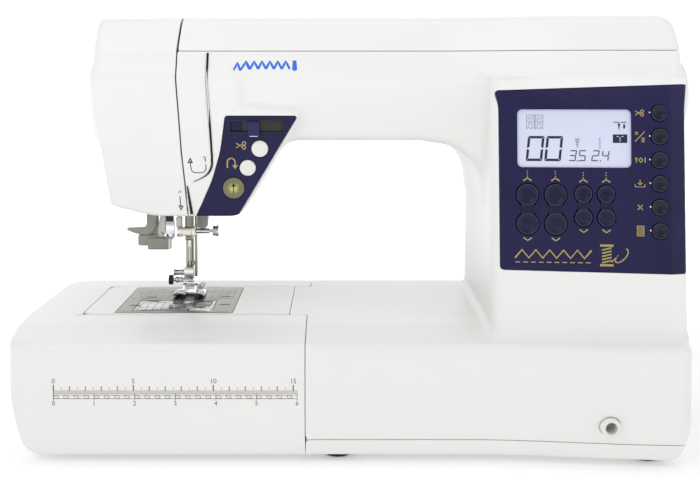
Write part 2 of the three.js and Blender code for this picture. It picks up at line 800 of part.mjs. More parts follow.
// A belt round two pulleys: a flat loop with the pulleys' pitch circles at its ends.
function belt(a, b, from, width) {
  const [clear, thick] = [0.3, 1.4];
  const steps = 12;
  const loop = (grow) => {
    const line = new THREE.Vector2(b.y - a.y, b.z - a.z);
    const tilt = Math.acos((a.r - b.r) / line.length());
    const arc = (c, start, sweep) =>
      Array.from({ length: steps + 1 }, (_, k) => {
        const angle = line.angle() + start + (sweep * k) / steps;
        return [c.y + (c.r + grow) * Math.cos(angle), c.z + (c.r + grow) * Math.sin(angle)];
      });
    return [...arc(b, -tilt, 2 * tilt), ...arc(a, tilt, 2 * (Math.PI - tilt))];
  };
  const outer = prism("yz", loop(clear + thick), from, from + width);
  return cut(outer, prism("yz", loop(clear), from - 1, from + width + 1));
}

function mainShaft() {
  const { y, z, radius } = SHAFT;
  return join(
    bar(radius, 222 + 108, [-108, y, z], "x"),
    bar(CRANK + 3.5, 5, [-113, y, z], "x", 20),
    bar(3, 3, [-115.7, y, z + CRANK], "x", 12),
    pulley(TIMING.radius, TIMING.x, TIMING.width - 1, y, z),
    pulley(DRIVE.large, DRIVE.x, DRIVE.width - 1, y, z),
  );
}

function handWheel() {
  const profile = [
    [0, 17.2],
    [SHAFT.radius + 0.4, 17.2],
    [SHAFT.radius + 0.4, 0],
    [22, 0],
    [25.5, 2],
    [27, 6],
    [27, 15],
    [25, 20],
    [20, 22.5],
    [17, 21],
    [8, 21],
    [0, 20],
  ];
  return turned(profile, [206, SHAFT.y, SHAFT.z], "x", 28);
}

const timingBelt = () =>
  belt(
    { y: LOWER.y, z: LOWER.z, r: TIMING.radius },
    { y: SHAFT.y, z: SHAFT.z, r: TIMING.radius },
    TIMING.x + 0.5,
    TIMING.width - 2,
  );

const motorBelt = () =>
  belt(
    { y: MOTOR.y, z: MOTOR.z, r: DRIVE.small },
    { y: SHAFT.y, z: SHAFT.z, r: DRIVE.large },
    DRIVE.x + 0.5,
    DRIVE.width - 2,
  );

function lowerShaft() {
  const { y, z, radius } = LOWER;
  const wheel = pulley(TIMING.radius, TIMING.x, TIMING.width - 1, y, z);
  return join(bar(radius, 290, [-150, y, z], "x"), wheel);
}

// The gear on the lower shaft that turns the hook.
function driveGear() {
  const teeth = 16;
  const rim = Array.from({ length: teeth * 4 }, (_, k) => {
    const radius = k % 4 < 2 ? 16 : 13.8;
    const angle = ((k + (k % 2) * 0.1) * Math.PI) / (teeth * 2);
    return [LOWER.y + radius * Math.cos(angle), LOWER.z + radius * Math.sin(angle)];
  });
  const wheel = prism("yz", rim, -132, -118);
  return cut(wheel, bar(LOWER.radius + 0.4, 20, [-135, LOWER.y, LOWER.z], "x", 20));
}

function motor() {
  const { y, z, radius } = MOTOR;
  const profile = [
    [0, 0],
    [radius - 6, 0],
    [radius, 4],
    [radius, 48],
    [radius - 4, 53],
    [8, 53],
    [0, 53],
  ];
  return turned(profile, [132, y, z], "x");
}

const motorPulley = () =>
  join(
    bar(3, 15, [116.6, MOTOR.y, MOTOR.z], "x", 12),
    pulley(DRIVE.small, DRIVE.x, DRIVE.width - 1, MOTOR.y, MOTOR.z),
  );

// ---- Needle and presser --------------------------------------------------------------------

function connectingRod() {
  const { x, y } = { x: -120, y: NEEDLE.y };
  const width = 3.2;
  const body = join(
    bar(5, width, [x, y, STUD_Z], "x"),
    bar(6, width, [x, y, STUD_Z + ROD], "x"),
    block([x, y - 3, STUD_Z], [x + width, y + 3, STUD_Z + ROD]),
  );
  const [small, large] = [[2.5, 0], [3.5, ROD]].map(([radius, up]) =>
    bar(radius, 10, [x - 3, y, STUD_Z + up], "x"),
  );
  return cut(body, small, large);
}

function takeUpLever() {
  const pivot = [12, 228];
  const path = [pivot, [-9, 235.5], [-20, 245.5], [-26, 253]];
  const arm = prism("yz", ribbon(path, 5), -125.6, -123.6);
  const boss = bar(5, 3, [-126.1, ...pivot], "x");
  const eye = bar(1.2, 6, [-128, -23.9, 250.4], "x", 8);
  return cut(join(arm, boss), bar(2.2, 12, [-130, ...pivot], "x", 12), eye);
}

function needleBar() {
  const { x, y } = NEEDLE;
  const collar = bar(4.7, 10, [x, y, STUD_Z - 5]);
  const stud = bar(2, 9, [x, y, STUD_Z], "x", 12);
  return join(bar(3.1, 262 - 131.6, [x, y, 131.6], "z", 20), collar, stud);
}

function needleClamp() {
  const { x, y } = NEEDLE;
  const body = block([x - 8.3, y - 6, 127.4], [x + 4.6, y + 4.6, 137]);
  const reliefs = [[x - 10, x - 3.6], [x + 2.6, x + 10]].map(([from, to]) =>
    block([from, y - 10, 125], [to, y + 10, 131]),
  );
  const guide = block([x - 7.5, y - 9, 131], [x - 4, y - 5, 132.6]);
  const barHole = bar(3.5, 10, [x, y, 131.2], "z", 20);
  const needleHole = bar(1.4, 10, [x, y, 125], "z", 12);
  return cut(join(cut(body, ...reliefs), guide), barHole, needleHole);
}

function clampScrew() {
  const { x, y } = NEEDLE;
  return join(
    bar(1.5, 13, [x + 5, y, 134], "x", 12),
    bar(4, 4.3, [x + 17, y, 134], "x", 20),
  );
}

function needle() {
  const profile = [
    [0, 108],
    [0.5, 110.5],
    [0.5, 121],
    [1, 122.5],
    [1, 130.8],
    [0, 130.8],
  ];
  return turned(profile, [NEEDLE.x, NEEDLE.y, 0], "z", 12);
}

function presserBar() {
  const { x, y } = PRESSER;
  const guard = bar(1, 50, [x + 4.8, y - 2, 99], "z", 10);
  const links = [107.4, 144].map((z) => block([x, y - 3, z], [x + 5.4, y - 1, z + 3]));
  return join(bar(3, 245 - 96, [x, y, 96], "z", 20), guard, ...links);
}

function footHolder() {
  const { x, y } = PRESSER;
  const body = block([x - 5, y - 6.5, 95.2], [x + 3.4, y + 5, 106.5]);
  const screw = [bar(1.5, 8, [x - 11.5, y, 101], "x", 12), bar(2.3, 7, [x - 12, y, 101], "x", 12)];
  const thumb = [
    bar(1.3, 9, [x - 12, y - 3, 96.4], "x", 12),
    bar(3.6, 3, [x - 15, y - 3, 96.4], "x", 16),
  ];
  return cut(join(body, ...screw, ...thumb), bar(3.5, 20, [x, y, 90]));
}

function presserFoot() {
  const [x, y] = [NEEDLE.x, NEEDLE.y];
  const sole = cut(
    block([x - 12, y - 9, 86.3], [x + 11, y + 19, 88.4]),
    block([x - 3, y - 20, 80], [x + 3, y + 4.5, 95]),
  );
  const toe = [[y - 9, 86.3], [y - 2, 86.3], [y - 2, 89.4], [y - 9, 91]];
  const toes = [-12, 3].map((dx) => prism("yz", toe, x + dx, x + dx + 8));
  const cheek = [[y + 5, 88], [y + 17, 88], [y + 14, 94.6], [y + 8, 94.6]];
  const cheeks = [-6.2, 2.2].map((dx) => prism("yz", cheek, x + dx, x + dx + 3));
  return join(sole, ...toes, ...cheeks, bar(1.2, 9, [x - 5, y + 11, 92.6], "x", 10));
}

function presserLever() {
  const side = [
    [-114, 160],
    [-119, 141],
    [-123.5, 139],
    [-123.5, 133, 1.5],
    [-113, 131.5, 3],
    [-106, 160],
  ];
  const lever = prism("xz", side, 50, 55);
  const hub = bar(5, 5, [-110, 50, 160], "y", 20);
  return cut(join(lever, hub), bar(2.4, 12, [-110, 46, 160], "y", 12));
}

// A slide with a finger tab, a hooked block and a metal guide, which lead thread through the needle.
function needleThreader() {
  const y = NEEDLE.y;
  const tab = [[-169, y - 6, 3], [-150, y - 6], [-150, y + 4], [-169, y + 4, 3]];
  return join(
    block([-155, y - 3, 129], [-146.4, y + 5.4, 214]),
    prism("xy", tab, 132.4, 136.4),
    block([-161.4, y - 5, 124], [-147, y + 4, 132.6]),
    block([-154.2, y - 7, 121.2], [-137.6, y + 2, 130]),
    block([-147.7, y - 3, 129.5], [-141.5, y + 4, 146]),
    bar(3.3, 14, [-138.6, y, 128.6]),
    block([-146, y - 2, 133], [-138, y + 2, 142]),
  );
}

// ---- Hook, bobbin, feed and needle plate ----------------------------------------------------

function rotaryHook() {
  const profile = [
    [0, 30],
    [4, 30],
    [4, 39],
    [8, 39],
    [8, 48.5],
    [4, 48.5],
    [4, 60],
    [12, 62.4],
    [22, 62.4],
    [23.5, 64],
    [23.5, 75],
    [20.8, 75],
    [20.8, 65],
    [0, 65],
  ];
  return turned(profile, [HOOK.x, HOOK.y, 0], "z", 20);
}

function bobbinCase() {
  const profile = [[0, 66], [18, 66], [18, 79], [11.4, 79], [11.4, 67.4], [0, 67.4]];
  return turned(profile, [HOOK.x, HOOK.y, 0], "z", 20);
}

function bobbin() {
  const profile = [
    [3, 68.2],
    [10.2, 68.2],
    [10.2, 69.4],
    [5, 69.4],
    [5, 78],
    [10.2, 78],
    [10.2, 79.2],
    [3, 79.2],
    [3, 68.2],
  ];
  return turned(profile, [HOOK.x, HOOK.y, 0], "z", 20);
}

// Rows of feed teeth: each row's x from the needle, and the y of its slot's ends.
const FEED_ROWS = [[-8, 21, 43], [8, 21, 43], [0, 34, 43]];

function needlePlate() {
  const { left, right, front, back, thick } = PLATE;
  const plate = block([left, front, BED_TOP - thick], [right, back, BED_TOP]);
  const well = block(
    [COVER.left - GAP, COVER.front - GAP, 70],
    [COVER.right + GAP, COVER.back + GAP, 90],
  );
  const slots = FEED_ROWS.map(([dx, from, to]) =>
    block([NEEDLE.x + dx - 1.9, from, 70], [NEEDLE.x + dx + 1.9, to, 90]),
  );
  return cut(plate, well, ...slots, bar(2, 20, [NEEDLE.x, NEEDLE.y, 75], "z", 12));
}

const bobbinCover = () =>
  block([COVER.left, COVER.front, BED_TOP - PLATE.thick], [COVER.right, COVER.back, BED_TOP - 0.1]);

function feedDog() {
  const rows = FEED_ROWS.map(([dx, from, to]) =>
    block([NEEDLE.x + dx - 1.3, from + 3, 78], [NEEDLE.x + dx + 1.3, to - 3, BED_TOP - 0.2]),
  );
  const plate = block([NEEDLE.x - 10, 30.6, 76.4], [NEEDLE.x + 10, 42, 79]);
  const carrier = block([NEEDLE.x - 4, 36, 66], [NEEDLE.x + 4, 52, 77]);
  return join(plate, carrier, ...rows);
}

// ---- Under the lid -------------------------------------------------------------------------

function spoolPin() {
  const stand = block([-22, 36, DECK + GAP], [-14, 48, 276]);
  return join(stand, bar(2.6, 80, [-15, 42, 270], "x"), bar(11, 3, [62, 42, 270], "x"));
}

function bobbinWinder() {
  const profile = [[0, 0], [11, 0], [11, 2.5], [5, 3], [3, 6], [3, 20], [0, 21]];
  return turned(profile, [150, 12, DECK + GAP], "z", 20);
}

// ---- The assembly --------------------------------------------------------------------------

const group = new THREE.Group();
const finish = (color, roughness, metalness = 0) => ({ color, roughness, metalness });
const WHITE = finish(0xf3f2ef, 0.4);
const WARM = finish(0xe8e6e0, 0.5);
const NAVY = finish(0x26234a, 0.35);
const BLACK = finish(0x1c1c1e, 0.5);
const STEEL = finish(0xb9babd, 0.3, 1);
const CAST = finish(0x9a9c9e, 0.6, 0.7);
const GREY = finish(0xb4b3ac, 0.55);
const RUBBER = finish(0x2a2a2b, 0.9);

function add(name, geometry, look) {
  const mesh = new THREE.Mesh(geometry, new THREE.MeshStandardMaterial(look));
  mesh.name = name;
  group.add(mesh);
}

add("base_pan", basePan(), WHITE);
add("front_cover", frontCover(), WHITE);
add("rear_cover", rearCover(), WHITE);
add("face_cover", faceCover(), WHITE);
add("top_lid", topLid(), WHITE);
add("free_arm_cover", freeArmCover(), WHITE);
add("extension_table", extensionTable(), WHITE);
add("storage_door", storageDoor(), WHITE);
add("control_panel", controlPanel(), NAVY);
add("display_board", displayBoard(), finish(0xcfd3ea, 0.3));
add("head_panel", headPanel(), NAVY);
add("speed_slider", speedSlider(), NAVY);
for (const [name, { x, z, radius }] of Object.entries(HEAD_BUTTONS)) {
  add(name, onHead(roundKey(radius), x, z), WARM);
}
ROCKERS.forEach((key, i) => {
  add(`rocker_key_${i + 1}`, onPanel(rockerForm(key, 0, -KEY_DEPTH, KEY_RAISE), key[0], key[1]), NAVY);
});
FUNCTION_KEYS.forEach(([x, z], i) => {
  add(`function_key_${i + 1}`, onPanel(roundKey(KEY_RADIUS), x, z), NAVY);
});
add("power_switch", powerSwitch(), BLACK);
add("power_inlet", powerInlet(), BLACK);
for (const [name, x, y] of [
  ["foot_front_left", -18, -58],
  ["foot_front_right", 180, -66],
  ["foot_rear_left", -18, 74],
  ["foot_rear_right", 180, 74],
]) {
  add(name, bar(9, BASE_BOTTOM - GAP, [x, y, 0], "z", 20), RUBBER);
}
add("knee_lift_socket", kneeLiftSocket(), WARM);
add("main_frame", mainFrame(), CAST);
add("main_shaft", mainShaft(), STEEL);
add("hand_wheel", handWheel(), WHITE);
add("timing_belt", timingBelt(), BLACK);
add("lower_shaft", lowerShaft(), STEEL);
add("drive_gear", driveGear(), STEEL);
add("rotary_hook", rotaryHook(), STEEL);
add("bobbin_case", bobbinCase(), BLACK);
add("bobbin", bobbin(), finish(0xd8dde2, 0.2));
add("bobbin_cover", bobbinCover(), finish(0xdfe3e8, 0.15));
add("needle_plate", needlePlate(), STEEL);
add("feed_dog", feedDog(), STEEL);
add("motor", motor(), CAST);
add("motor_pulley", motorPulley(), STEEL);
add("motor_belt", motorBelt(), BLACK);
add("connecting_rod", connectingRod(), STEEL);
add("take_up_lever", takeUpLever(), STEEL);
add("needle_bar", needleBar(), STEEL);
add("needle_clamp", needleClamp(), STEEL);
add("clamp_screw", clampScrew(), STEEL);
add("needle", needle(), STEEL);
add("presser_bar", presserBar(), STEEL);
add("presser_lever", presserLever(), GREY);
add("foot_holder", footHolder(), STEEL);
add("presser_foot", presserFoot(), STEEL);
add("needle_threader", needleThreader(), GREY);
add("spool_pin", spoolPin(), WARM);
add("bobbin_winder", bobbinWinder(), WARM);

export default group;
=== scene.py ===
"""Looks of a household electronic sewing machine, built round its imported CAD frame.

The covers are skins of one smooth body, cut along the machine's seams. Everything else is
modelled piece by piece in the frame's own places. Sizes here are in millimetres, and every
mesh is scaled to metres as it is made.
"""

import json
import math

import bmesh
import bpy
import numpy as np
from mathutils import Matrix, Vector


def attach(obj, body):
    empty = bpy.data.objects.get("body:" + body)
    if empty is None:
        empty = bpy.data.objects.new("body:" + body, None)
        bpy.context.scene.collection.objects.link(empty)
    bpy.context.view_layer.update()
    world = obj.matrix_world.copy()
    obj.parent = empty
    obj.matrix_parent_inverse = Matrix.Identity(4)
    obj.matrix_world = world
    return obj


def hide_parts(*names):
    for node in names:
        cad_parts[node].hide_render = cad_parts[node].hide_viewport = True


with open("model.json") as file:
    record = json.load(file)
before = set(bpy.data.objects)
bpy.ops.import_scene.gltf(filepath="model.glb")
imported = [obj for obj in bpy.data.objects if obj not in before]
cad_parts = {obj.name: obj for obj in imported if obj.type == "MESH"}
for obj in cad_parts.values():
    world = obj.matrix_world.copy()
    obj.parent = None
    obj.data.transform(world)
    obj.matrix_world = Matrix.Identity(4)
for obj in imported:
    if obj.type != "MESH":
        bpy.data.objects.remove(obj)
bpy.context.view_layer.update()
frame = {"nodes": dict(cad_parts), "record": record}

MM = 0.001

# ---- Driving sizes, the same as the frame's --------------------------------------------------

LEFT, RIGHT = -228.5, 204.0
BACK = 99.0
BED_FRONT, BED_TOP, BED_CREASE = -87.0, 85.8, 75.8
BASE_TURN, BASE_BOTTOM, PAN_TOP = 37.2, 3.0, 16.0
BOW_START, BOW = 60.0, 12.0
COLUMN_LEFT, COLUMN_FRONT, COLUMN_SWING, COLUMN_LEAN = 80.0, -73.0, 9.0, 13.0
ARM_BOTTOM, ARM_CREASE, ARM_TOP, ARM_FRONT, ARM_BACK = 202.0, 243.0, 287.5, -42.0, 88.0
LID_SEAM, DECK, THROAT_RADIUS = 262.0, 255.0, 38.0
HEAD_LEFT, HEAD_BOTTOM, HEAD_LEAN, SPLIT_Y = -183.0, 150.5, 14.0, 31.0
TABLE_SEAM, ARM_SEAM = -38.5, -50.5
FREE_LEFT, FREE_FRONT, FREE_BACK, FREE_BOTTOM = -190.0, -31.5, 69.0, 20.0
WALL = 2.4
GRID = 2.4
FAR = 400.0
BED_LIMIT = 110.0  # above this height the extension table has no part in the covers
FACE_FOOT = 140.0  # below this height there is no face cover or lid

# ---- Outlines and distance fields ------------------------------------------------------------


def rounded(corners, step=7.5):
    """The points of a closed outline whose corners are (u, v, radius)."""
    points = []
    count = len(corners)
    for i, corner in enumerate(corners):
        here = np.array(corner[:2], float)
        radius = corner[2] if len(corner) > 2 else 0
        if radius < 0.05:
            points.append(here)
            continue
        before = np.array(corners[i - 1][:2], float) - here
        after = np.array(corners[(i + 1) % count][:2], float) - here
        before, after = before / np.linalg.norm(before), after / np.linalg.norm(after)
        half = math.acos(np.clip(before @ after, -1, 1)) / 2
        middle = before + after
        centre = here + middle / np.linalg.norm(middle) * radius / math.sin(half)
        spoke = here + before * radius / math.tan(half) - centre
        turn = (math.pi - 2 * half) * np.sign(after[0] * before[1] - after[1] * before[0])
        steps = max(2, round(abs(math.degrees(turn)) / step))
        for k in range(steps + 1):
            c, s = math.cos(turn * k / steps), math.sin(turn * k / steps)
            points.append(centre + (spoke[0] * c - spoke[1] * s, spoke[0] * s + spoke[1] * c))
    return np.array(points)


def outline_distance(points, u, v):
    """Signed distance to a closed outline, negative inside."""
    nearest = np.full(np.shape(u), 1e9)
    inside = np.zeros(np.shape(u), bool)
    for a, b in zip(points, np.roll(points, -1, axis=0)):
        edge = b - a
        du, dv = u - a[0], v - a[1]
        t = np.clip((du * edge[0] + dv * edge[1]) / (edge @ edge), 0, 1)
        nearest = np.minimum(nearest, (du - t * edge[0]) ** 2 + (dv - t * edge[1]) ** 2)
        crosses = (a[1] > v) != (b[1] > v)
        with np.errstate(divide="ignore", invalid="ignore"):
            at = a[0] + (v - a[1]) * edge[0] / edge[1]
        inside ^= crosses & (u < at)
    return np.where(inside, -1, 1) * np.sqrt(nearest)


class Profile:
    """An outline's distance, sampled once on a fine grid and then looked up."""

    def __init__(self, corners, margin=60.0, step=1.0):
        points = rounded(corners)
        self.low = points.min(0) - margin
        self.step = step
        shape = np.ceil((points.max(0) + margin - self.low) / step).astype(int) + 1
        u = self.low[0] + step * np.arange(shape[0])[:, None]
        v = self.low[1] + step * np.arange(shape[1])[None, :]
        self.table = outline_distance(points, u + 0 * v, v + 0 * u)

    def __call__(self, u, v):
        fu = np.clip((u - self.low[0]) / self.step, 0, self.table.shape[0] - 1.001)
        fv = np.clip((v - self.low[1]) / self.step, 0, self.table.shape[1] - 1.001)
        i, j = fu.astype(int), fv.astype(int)
        a, b = fu - i, fv - j
        t = self.table
        return (t[i, j] * (1 - a) + t[i + 1, j] * a) * (1 - b) + (
            t[i, j + 1] * (1 - a) + t[i + 1, j + 1] * a
        ) * b


def smooth_max(a, b, radius):
    """The larger of two distances, with the crease between them rounded."""
    overlap = np.maximum(radius - np.abs(a - b), 0)
    return np.maximum(a, b) + overlap * overlap / (4 * radius)


def smooth_min(a, b, radius):
    return -smooth_max(-a, -b, radius)


def bow(x, full, start, end):
    t = np.clip((x - start) / (end - start), 0, 1)
    return full * t * t * (3 - 2 * t)


BASE_SIDE_CORNERS = [
    (BED_FRONT + 10, BASE_BOTTOM, 6),
    (BACK - 8, BASE_BOTTOM, 4),
    (BACK, BASE_TURN, 20),
    (BACK, BED_TOP, 1.5),
    (-24, BED_TOP, 40),
    (-52, BED_TOP - 1.6, 60),
    (BED_FRONT + 2, BED_CREASE + 1.4, 5),
    (BED_FRONT, BASE_TURN + 26, 40),
    (BED_FRONT, BASE_TURN, 12),
]
BASE_SIDE = Profile(BASE_SIDE_CORNERS)
BASE_PLAN = Profile(
    [
        (LEFT, BED_FRONT, 21),
        (BOW_START, BED_FRONT),
        (BOW_START + 70, BED_FRONT - BOW),
        (RIGHT, BED_FRONT - BOW, 14),
        (RIGHT, BACK, 14),
        (LEFT, BACK, 22),
    ]
)
BASE_ENDS = Profile(
    [
        (LEFT + 13, BASE_BOTTOM, 14),
        (RIGHT - 9, BASE_BOTTOM, 5),
        (RIGHT, BASE_BOTTOM + 24, 20),
        (RIGHT, BED_TOP + 20),
        (LEFT, BED_TOP + 20),
        (LEFT, BASE_TURN + 6, 20),
    ]
)
ARM_SIDE = Profile(
    [
        (ARM_FRONT + 17, ARM_BOTTOM, 7),
        (ARM_BACK - 8, ARM_BOTTOM, 8),
        (ARM_BACK, ARM_BOTTOM + 25, 20),
        (ARM_BACK, LID_SEAM, 20),
        (ARM_BACK - 6, ARM_TOP, 14),
        (ARM_FRONT + 16, ARM_TOP, 18),
        (ARM_FRONT + 3, LID_SEAM, 30),
        (ARM_FRONT, ARM_CREASE, 6),
    ]
)
ARM_ENDS = Profile(
    [
        (HEAD_LEFT + 1, ARM_BOTTOM - 60),
        (RIGHT, ARM_BOTTOM - 60),
        (RIGHT, LID_SEAM, 40),
        (RIGHT - 6, ARM_TOP, 12),
        (HEAD_LEFT + 4.5, ARM_TOP - 1, 5),
        (HEAD_LEFT, ARM_CREASE + 8, 24),
    ]
)
ARM_PLAN = Profile(
    [
        (HEAD_LEFT, ARM_FRONT - 1, 17),
        (40, ARM_FRONT - 1, 60),
        (95, ARM_FRONT - 30, 40),
        (RIGHT, ARM_FRONT - 30, 16),
        (RIGHT, ARM_BACK, 14),
        (HEAD_LEFT, ARM_BACK, 22),
    ]
)
HEAD_SIDE = Profile(
    [
        (ARM_FRONT + HEAD_LEAN, HEAD_BOTTOM, 1.5),
        (ARM_BACK - 12, HEAD_BOTTOM, 8),
        (ARM_BACK, HEAD_BOTTOM + 30, 20),
        (ARM_BACK, ARM_CREASE + 8),
        (ARM_FRONT, ARM_CREASE + 8, 8),
    ]
)
HEAD_FACE = Profile(
    [
        (-140, HEAD_BOTTOM, 40),
        (-84, HEAD_BOTTOM, 12),
        (-52, ARM_BOTTOM + 2, 3),
        (-43, 221, 3),
        (-84, 224, 6),
        (-88, ARM_CREASE + 4, 5),
        (HEAD_LEFT, ARM_CREASE + 4),
        (HEAD_LEFT + 12, HEAD_BOTTOM + 8, 6),
    ]
)
HEAD_PLAN = Profile(
    [
        (HEAD_LEFT, ARM_FRONT - 1, 17),
        (-30, ARM_FRONT - 1),
        (-30, ARM_BACK),
        (HEAD_LEFT, ARM_BACK, 22),
    ]
)
COLUMN_PLAN = Profile(
    [
        (COLUMN_LEFT, COLUMN_FRONT, 9),
        (RIGHT - 11.5, COLUMN_FRONT - 9.5, 8),
        (RIGHT - 1.6, COLUMN_FRONT - 6.5, 3),
        (RIGHT - 1, COLUMN_FRONT + 20, 8),
        (RIGHT - 1, BACK - 1.5, 14),
        (COLUMN_LEFT, BACK - 1.5, 14),
    ]
)
THROAT = Profile(
    [
        (-60, BED_TOP - 30),
        (COLUMN_LEFT, BED_TOP - 30),
        (COLUMN_LEFT, ARM_BOTTOM, THROAT_RADIUS),
        (-60, ARM_BOTTOM),
    ]
)


def base_field(x, y, z):
    out = bow(x, BOW, BOW_START, RIGHT)
    side = BASE_SIDE(y + np.where(y < 0, out, 0), z)
    return smooth_max(smooth_max(side, BASE_PLAN(x, y), 4), BASE_ENDS(x, z), 6)


def column_front(x, z):
    up = (z - BED_TOP) / (ARM_CREASE - BED_TOP)
    across = (x - COLUMN_LEFT) / (RIGHT - 17 - COLUMN_LEFT)
    return COLUMN_FRONT + COLUMN_LEAN * up - COLUMN_SWING * across


def column_field(x, y, z):
    up = np.clip((z - BED_TOP) / (ARM_CREASE - BED_TOP), 0, 1.2)
    rear = np.clip((y + 40) / 100, 0, 1)
    moved = y - COLUMN_LEAN * up * (1 - rear) + (BACK - ARM_BACK) * up * rear
    return np.maximum(np.maximum(COLUMN_PLAN(x, moved), z - ARM_CREASE - 1), 40 - z)


def arm_field(x, y, z):
    out = bow(x, 24.0, 45.0, 140.0)
    side = ARM_SIDE(y + np.where(y < 0, out, 0), z)
    field = smooth_max(smooth_max(side, ARM_ENDS(x, z), 8), ARM_PLAN(x, y), 6)
    return np.maximum(field, ARM_BOTTOM - z)


def head_field(x, y, z):
    field = smooth_max(HEAD_SIDE(y, z), HEAD_FACE(x, z), 3)
    return smooth_max(field, HEAD_PLAN(x, y), 6)


def corner_field(x, y, z):
    """The web that rounds the corner between the arm's underside and the column."""
    r = THROAT_RADIUS
    square = np.maximum(COLUMN_LEFT - r - x, ARM_BOTTOM - r - z)
    square = np.maximum(square, np.maximum(x - COLUMN_LEFT - 20, z - ARM_BOTTOM - 20))
    slab = np.maximum(ARM_FRONT + 6 + 0.35 * (COLUMN_LEFT - x) - y, y - ARM_BACK + 8)
    return smooth_max(np.maximum(square, slab), -THROAT(x, z), 8)


def body_field(x, y, z):
    upper = smooth_min(arm_field(x, y, z), head_field(x, y, z), 10)
    upper = smooth_min(upper, corner_field(x, y, z), 6)
    upper = smooth_min(upper, column_field(x, y, z), 9)
    return smooth_min(upper, base_field(x, y, z), 6)


# ---- From a field to a mesh ------------------------------------------------------------------


def surface(field, low, high, step):
    """Quads on the zero surface of a field: (points, faces, normals)."""
    axes = [np.arange(a, b + step, step) for a, b in zip(low, high)]
    x, y, z = np.meshgrid(*axes, indexing="ij")
    f = field(x, y, z)
    inside = f < 0
    total = np.zeros(tuple(n - 1 for n in f.shape) + (3,))
    count = np.zeros(tuple(n - 1 for n in f.shape))
    corner = {}
    for axis in range(3):
        lo = [slice(None)] * 3
        hi = [slice(None)] * 3
        lo[axis], hi[axis] = slice(0, -1), slice(1, None)
        a, b = f[tuple(lo)], f[tuple(hi)]
        crossing = inside[tuple(lo)] != inside[tuple(hi)]
        t = np.where(crossing, a / np.where(crossing, a - b, 1), 0)
        corner[axis] = crossing
        others = [k for k in range(3) if k != axis]
        for p in (0, 1):
            for q in (0, 1):
                # cells that have this edge at offset (p, q) along the two other axes
                cut = [slice(None)] * 3
                cut[others[0]] = slice(p, f.shape[others[0]] - 1 + p)
                cut[others[1]] = slice(q, f.shape[others[1]] - 1 + q)
                mask = crossing[tuple(cut)]
                count += mask
                total[..., axis] += np.where(mask, t[tuple(cut)], 0)
                total[..., others[0]] += mask * p
                total[..., others[1]] += mask * q
    active = count > 0
    index = np.full(active.shape, -1)
    index[active] = np.arange(active.sum())
    cells = np.argwhere(active)
    points = (cells + total[active] / count[active][:, None]) * step + np.array(low)
    faces = []
    for axis in range(3):
        o1, o2 = [k for k in range(3) if k != axis]
        crossing = corner[axis]
        keep = [slice(None)] * 3
        keep[o1], keep[o2] = slice(1, -1), slice(1, -1)
        found = np.argwhere(crossing[tuple(keep)])
        found[:, o1] += 1
        found[:, o2] += 1
        d1, d2 = np.eye(3, dtype=int)[o1], np.eye(3, dtype=int)[o2]
        around = [found - d1 - d2, found - d2, found, found - d1]
        quad = np.stack([index[tuple(c.T)] for c in around], axis=1)
        flip = inside[tuple(found.T)] ^ (axis == 1)
        quad = np.where(flip[:, None], quad, quad[:, ::-1])
        faces.append(quad)
    faces = np.concatenate(faces)
    for _ in range(2):
        points -= gradient(field, points, 0.6, scaled=True)
    return points, faces, gradient(field, points, 1.2)


def gradient(field, points, reach, scaled=False):
    """The field's unit gradient, or the step that leads to its zero surface."""
    slope = np.empty_like(points)
    for axis in range(3):
        move = np.zeros(3)
        move[axis] = reach
        ahead, behind = (points + move).T, (points - move).T
        slope[:, axis] = (field(*ahead) - field(*behind)) / (2 * reach)
    length = np.linalg.norm(slope, axis=1, keepdims=True).clip(0.2)
    if not scaled:
        return slope / length
    return slope / length**2 * field(*points.T)[:, None]


# ---- Parts: points, faces, and a normal for each face corner ---------------------------------


class Part:
    """Points in millimetres, faces as lists of point numbers, and a normal for each corner."""

    def __init__(self, points, faces, normals):
        self.points, self.faces, self.normals = points, faces, normals


def merged(parts):
    """One part that holds several."""
    points, faces, normals, start = [], [], [], 0
    for part in parts:
        points.append(np.asarray(part.points, float))
        faces += [[i + start for i in face] for face in part.faces]
        normals.append(np.asarray(part.normals, float))
        start += len(part.points)
    return Part(np.concatenate(points), faces, np.concatenate(normals))


def shaded(points, faces, angle=38.0):
    """A part with smooth shading, and hard edges where faces meet at more than an angle."""
    mesh = bpy.data.meshes.new("scratch")
    mesh.from_pydata([tuple(p) for p in points], [], [list(f) for f in faces])
    mesh.validate()
    mesh.update()
    edit = bmesh.new()
    edit.from_mesh(mesh)
    bmesh.ops.remove_doubles(edit, verts=edit.verts, dist=1e-4)
    bmesh.ops.recalc_face_normals(edit, faces=edit.faces)
    edit.to_mesh(mesh)
    edit.free()
    mesh.polygons.foreach_set("use_smooth", [True] * len(mesh.polygons))
    mesh.set_sharp_from_angle(angle=math.radians(angle))
    normals = np.zeros(len(mesh.loops) * 3)
    mesh.corner_normals.foreach_get("vector", normals)
    co = np.zeros(len(mesh.vertices) * 3)
    mesh.vertices.foreach_get("co", co)
    part = Part(co.reshape(-1, 3), [list(p.vertices) for p in mesh.polygons],
                normals.reshape(-1, 3))
    bpy.data.meshes.remove(mesh)
    return part


def placed(part, place):
    """The part moved by a 4x4 placing matrix."""
    turn, shift = place[:3, :3], place[:3, 3]
    return Part(part.points @ turn.T + shift, part.faces, part.normals @ turn.T)


def ways(across, up, out, origin=(0, 0, 0)):
    """A placing matrix from three directions and an origin."""
    place = np.eye(4)
    place[:3, 0], place[:3, 1], place[:3, 2], place[:3, 3] = across, up, out, origin
    return place


def flat(x=0, y=0, z=0):
    """Drawn from above, facing up."""
    return ways((1, 0, 0), (0, 1, 0), (0, 0, 1), (x, y, z))


def front(x=0, y=0, z=0):
    """Drawn from the front, facing the user."""
    return ways((1, 0, 0), (0, 0, 1), (0, -1, 0), (x, y, z))


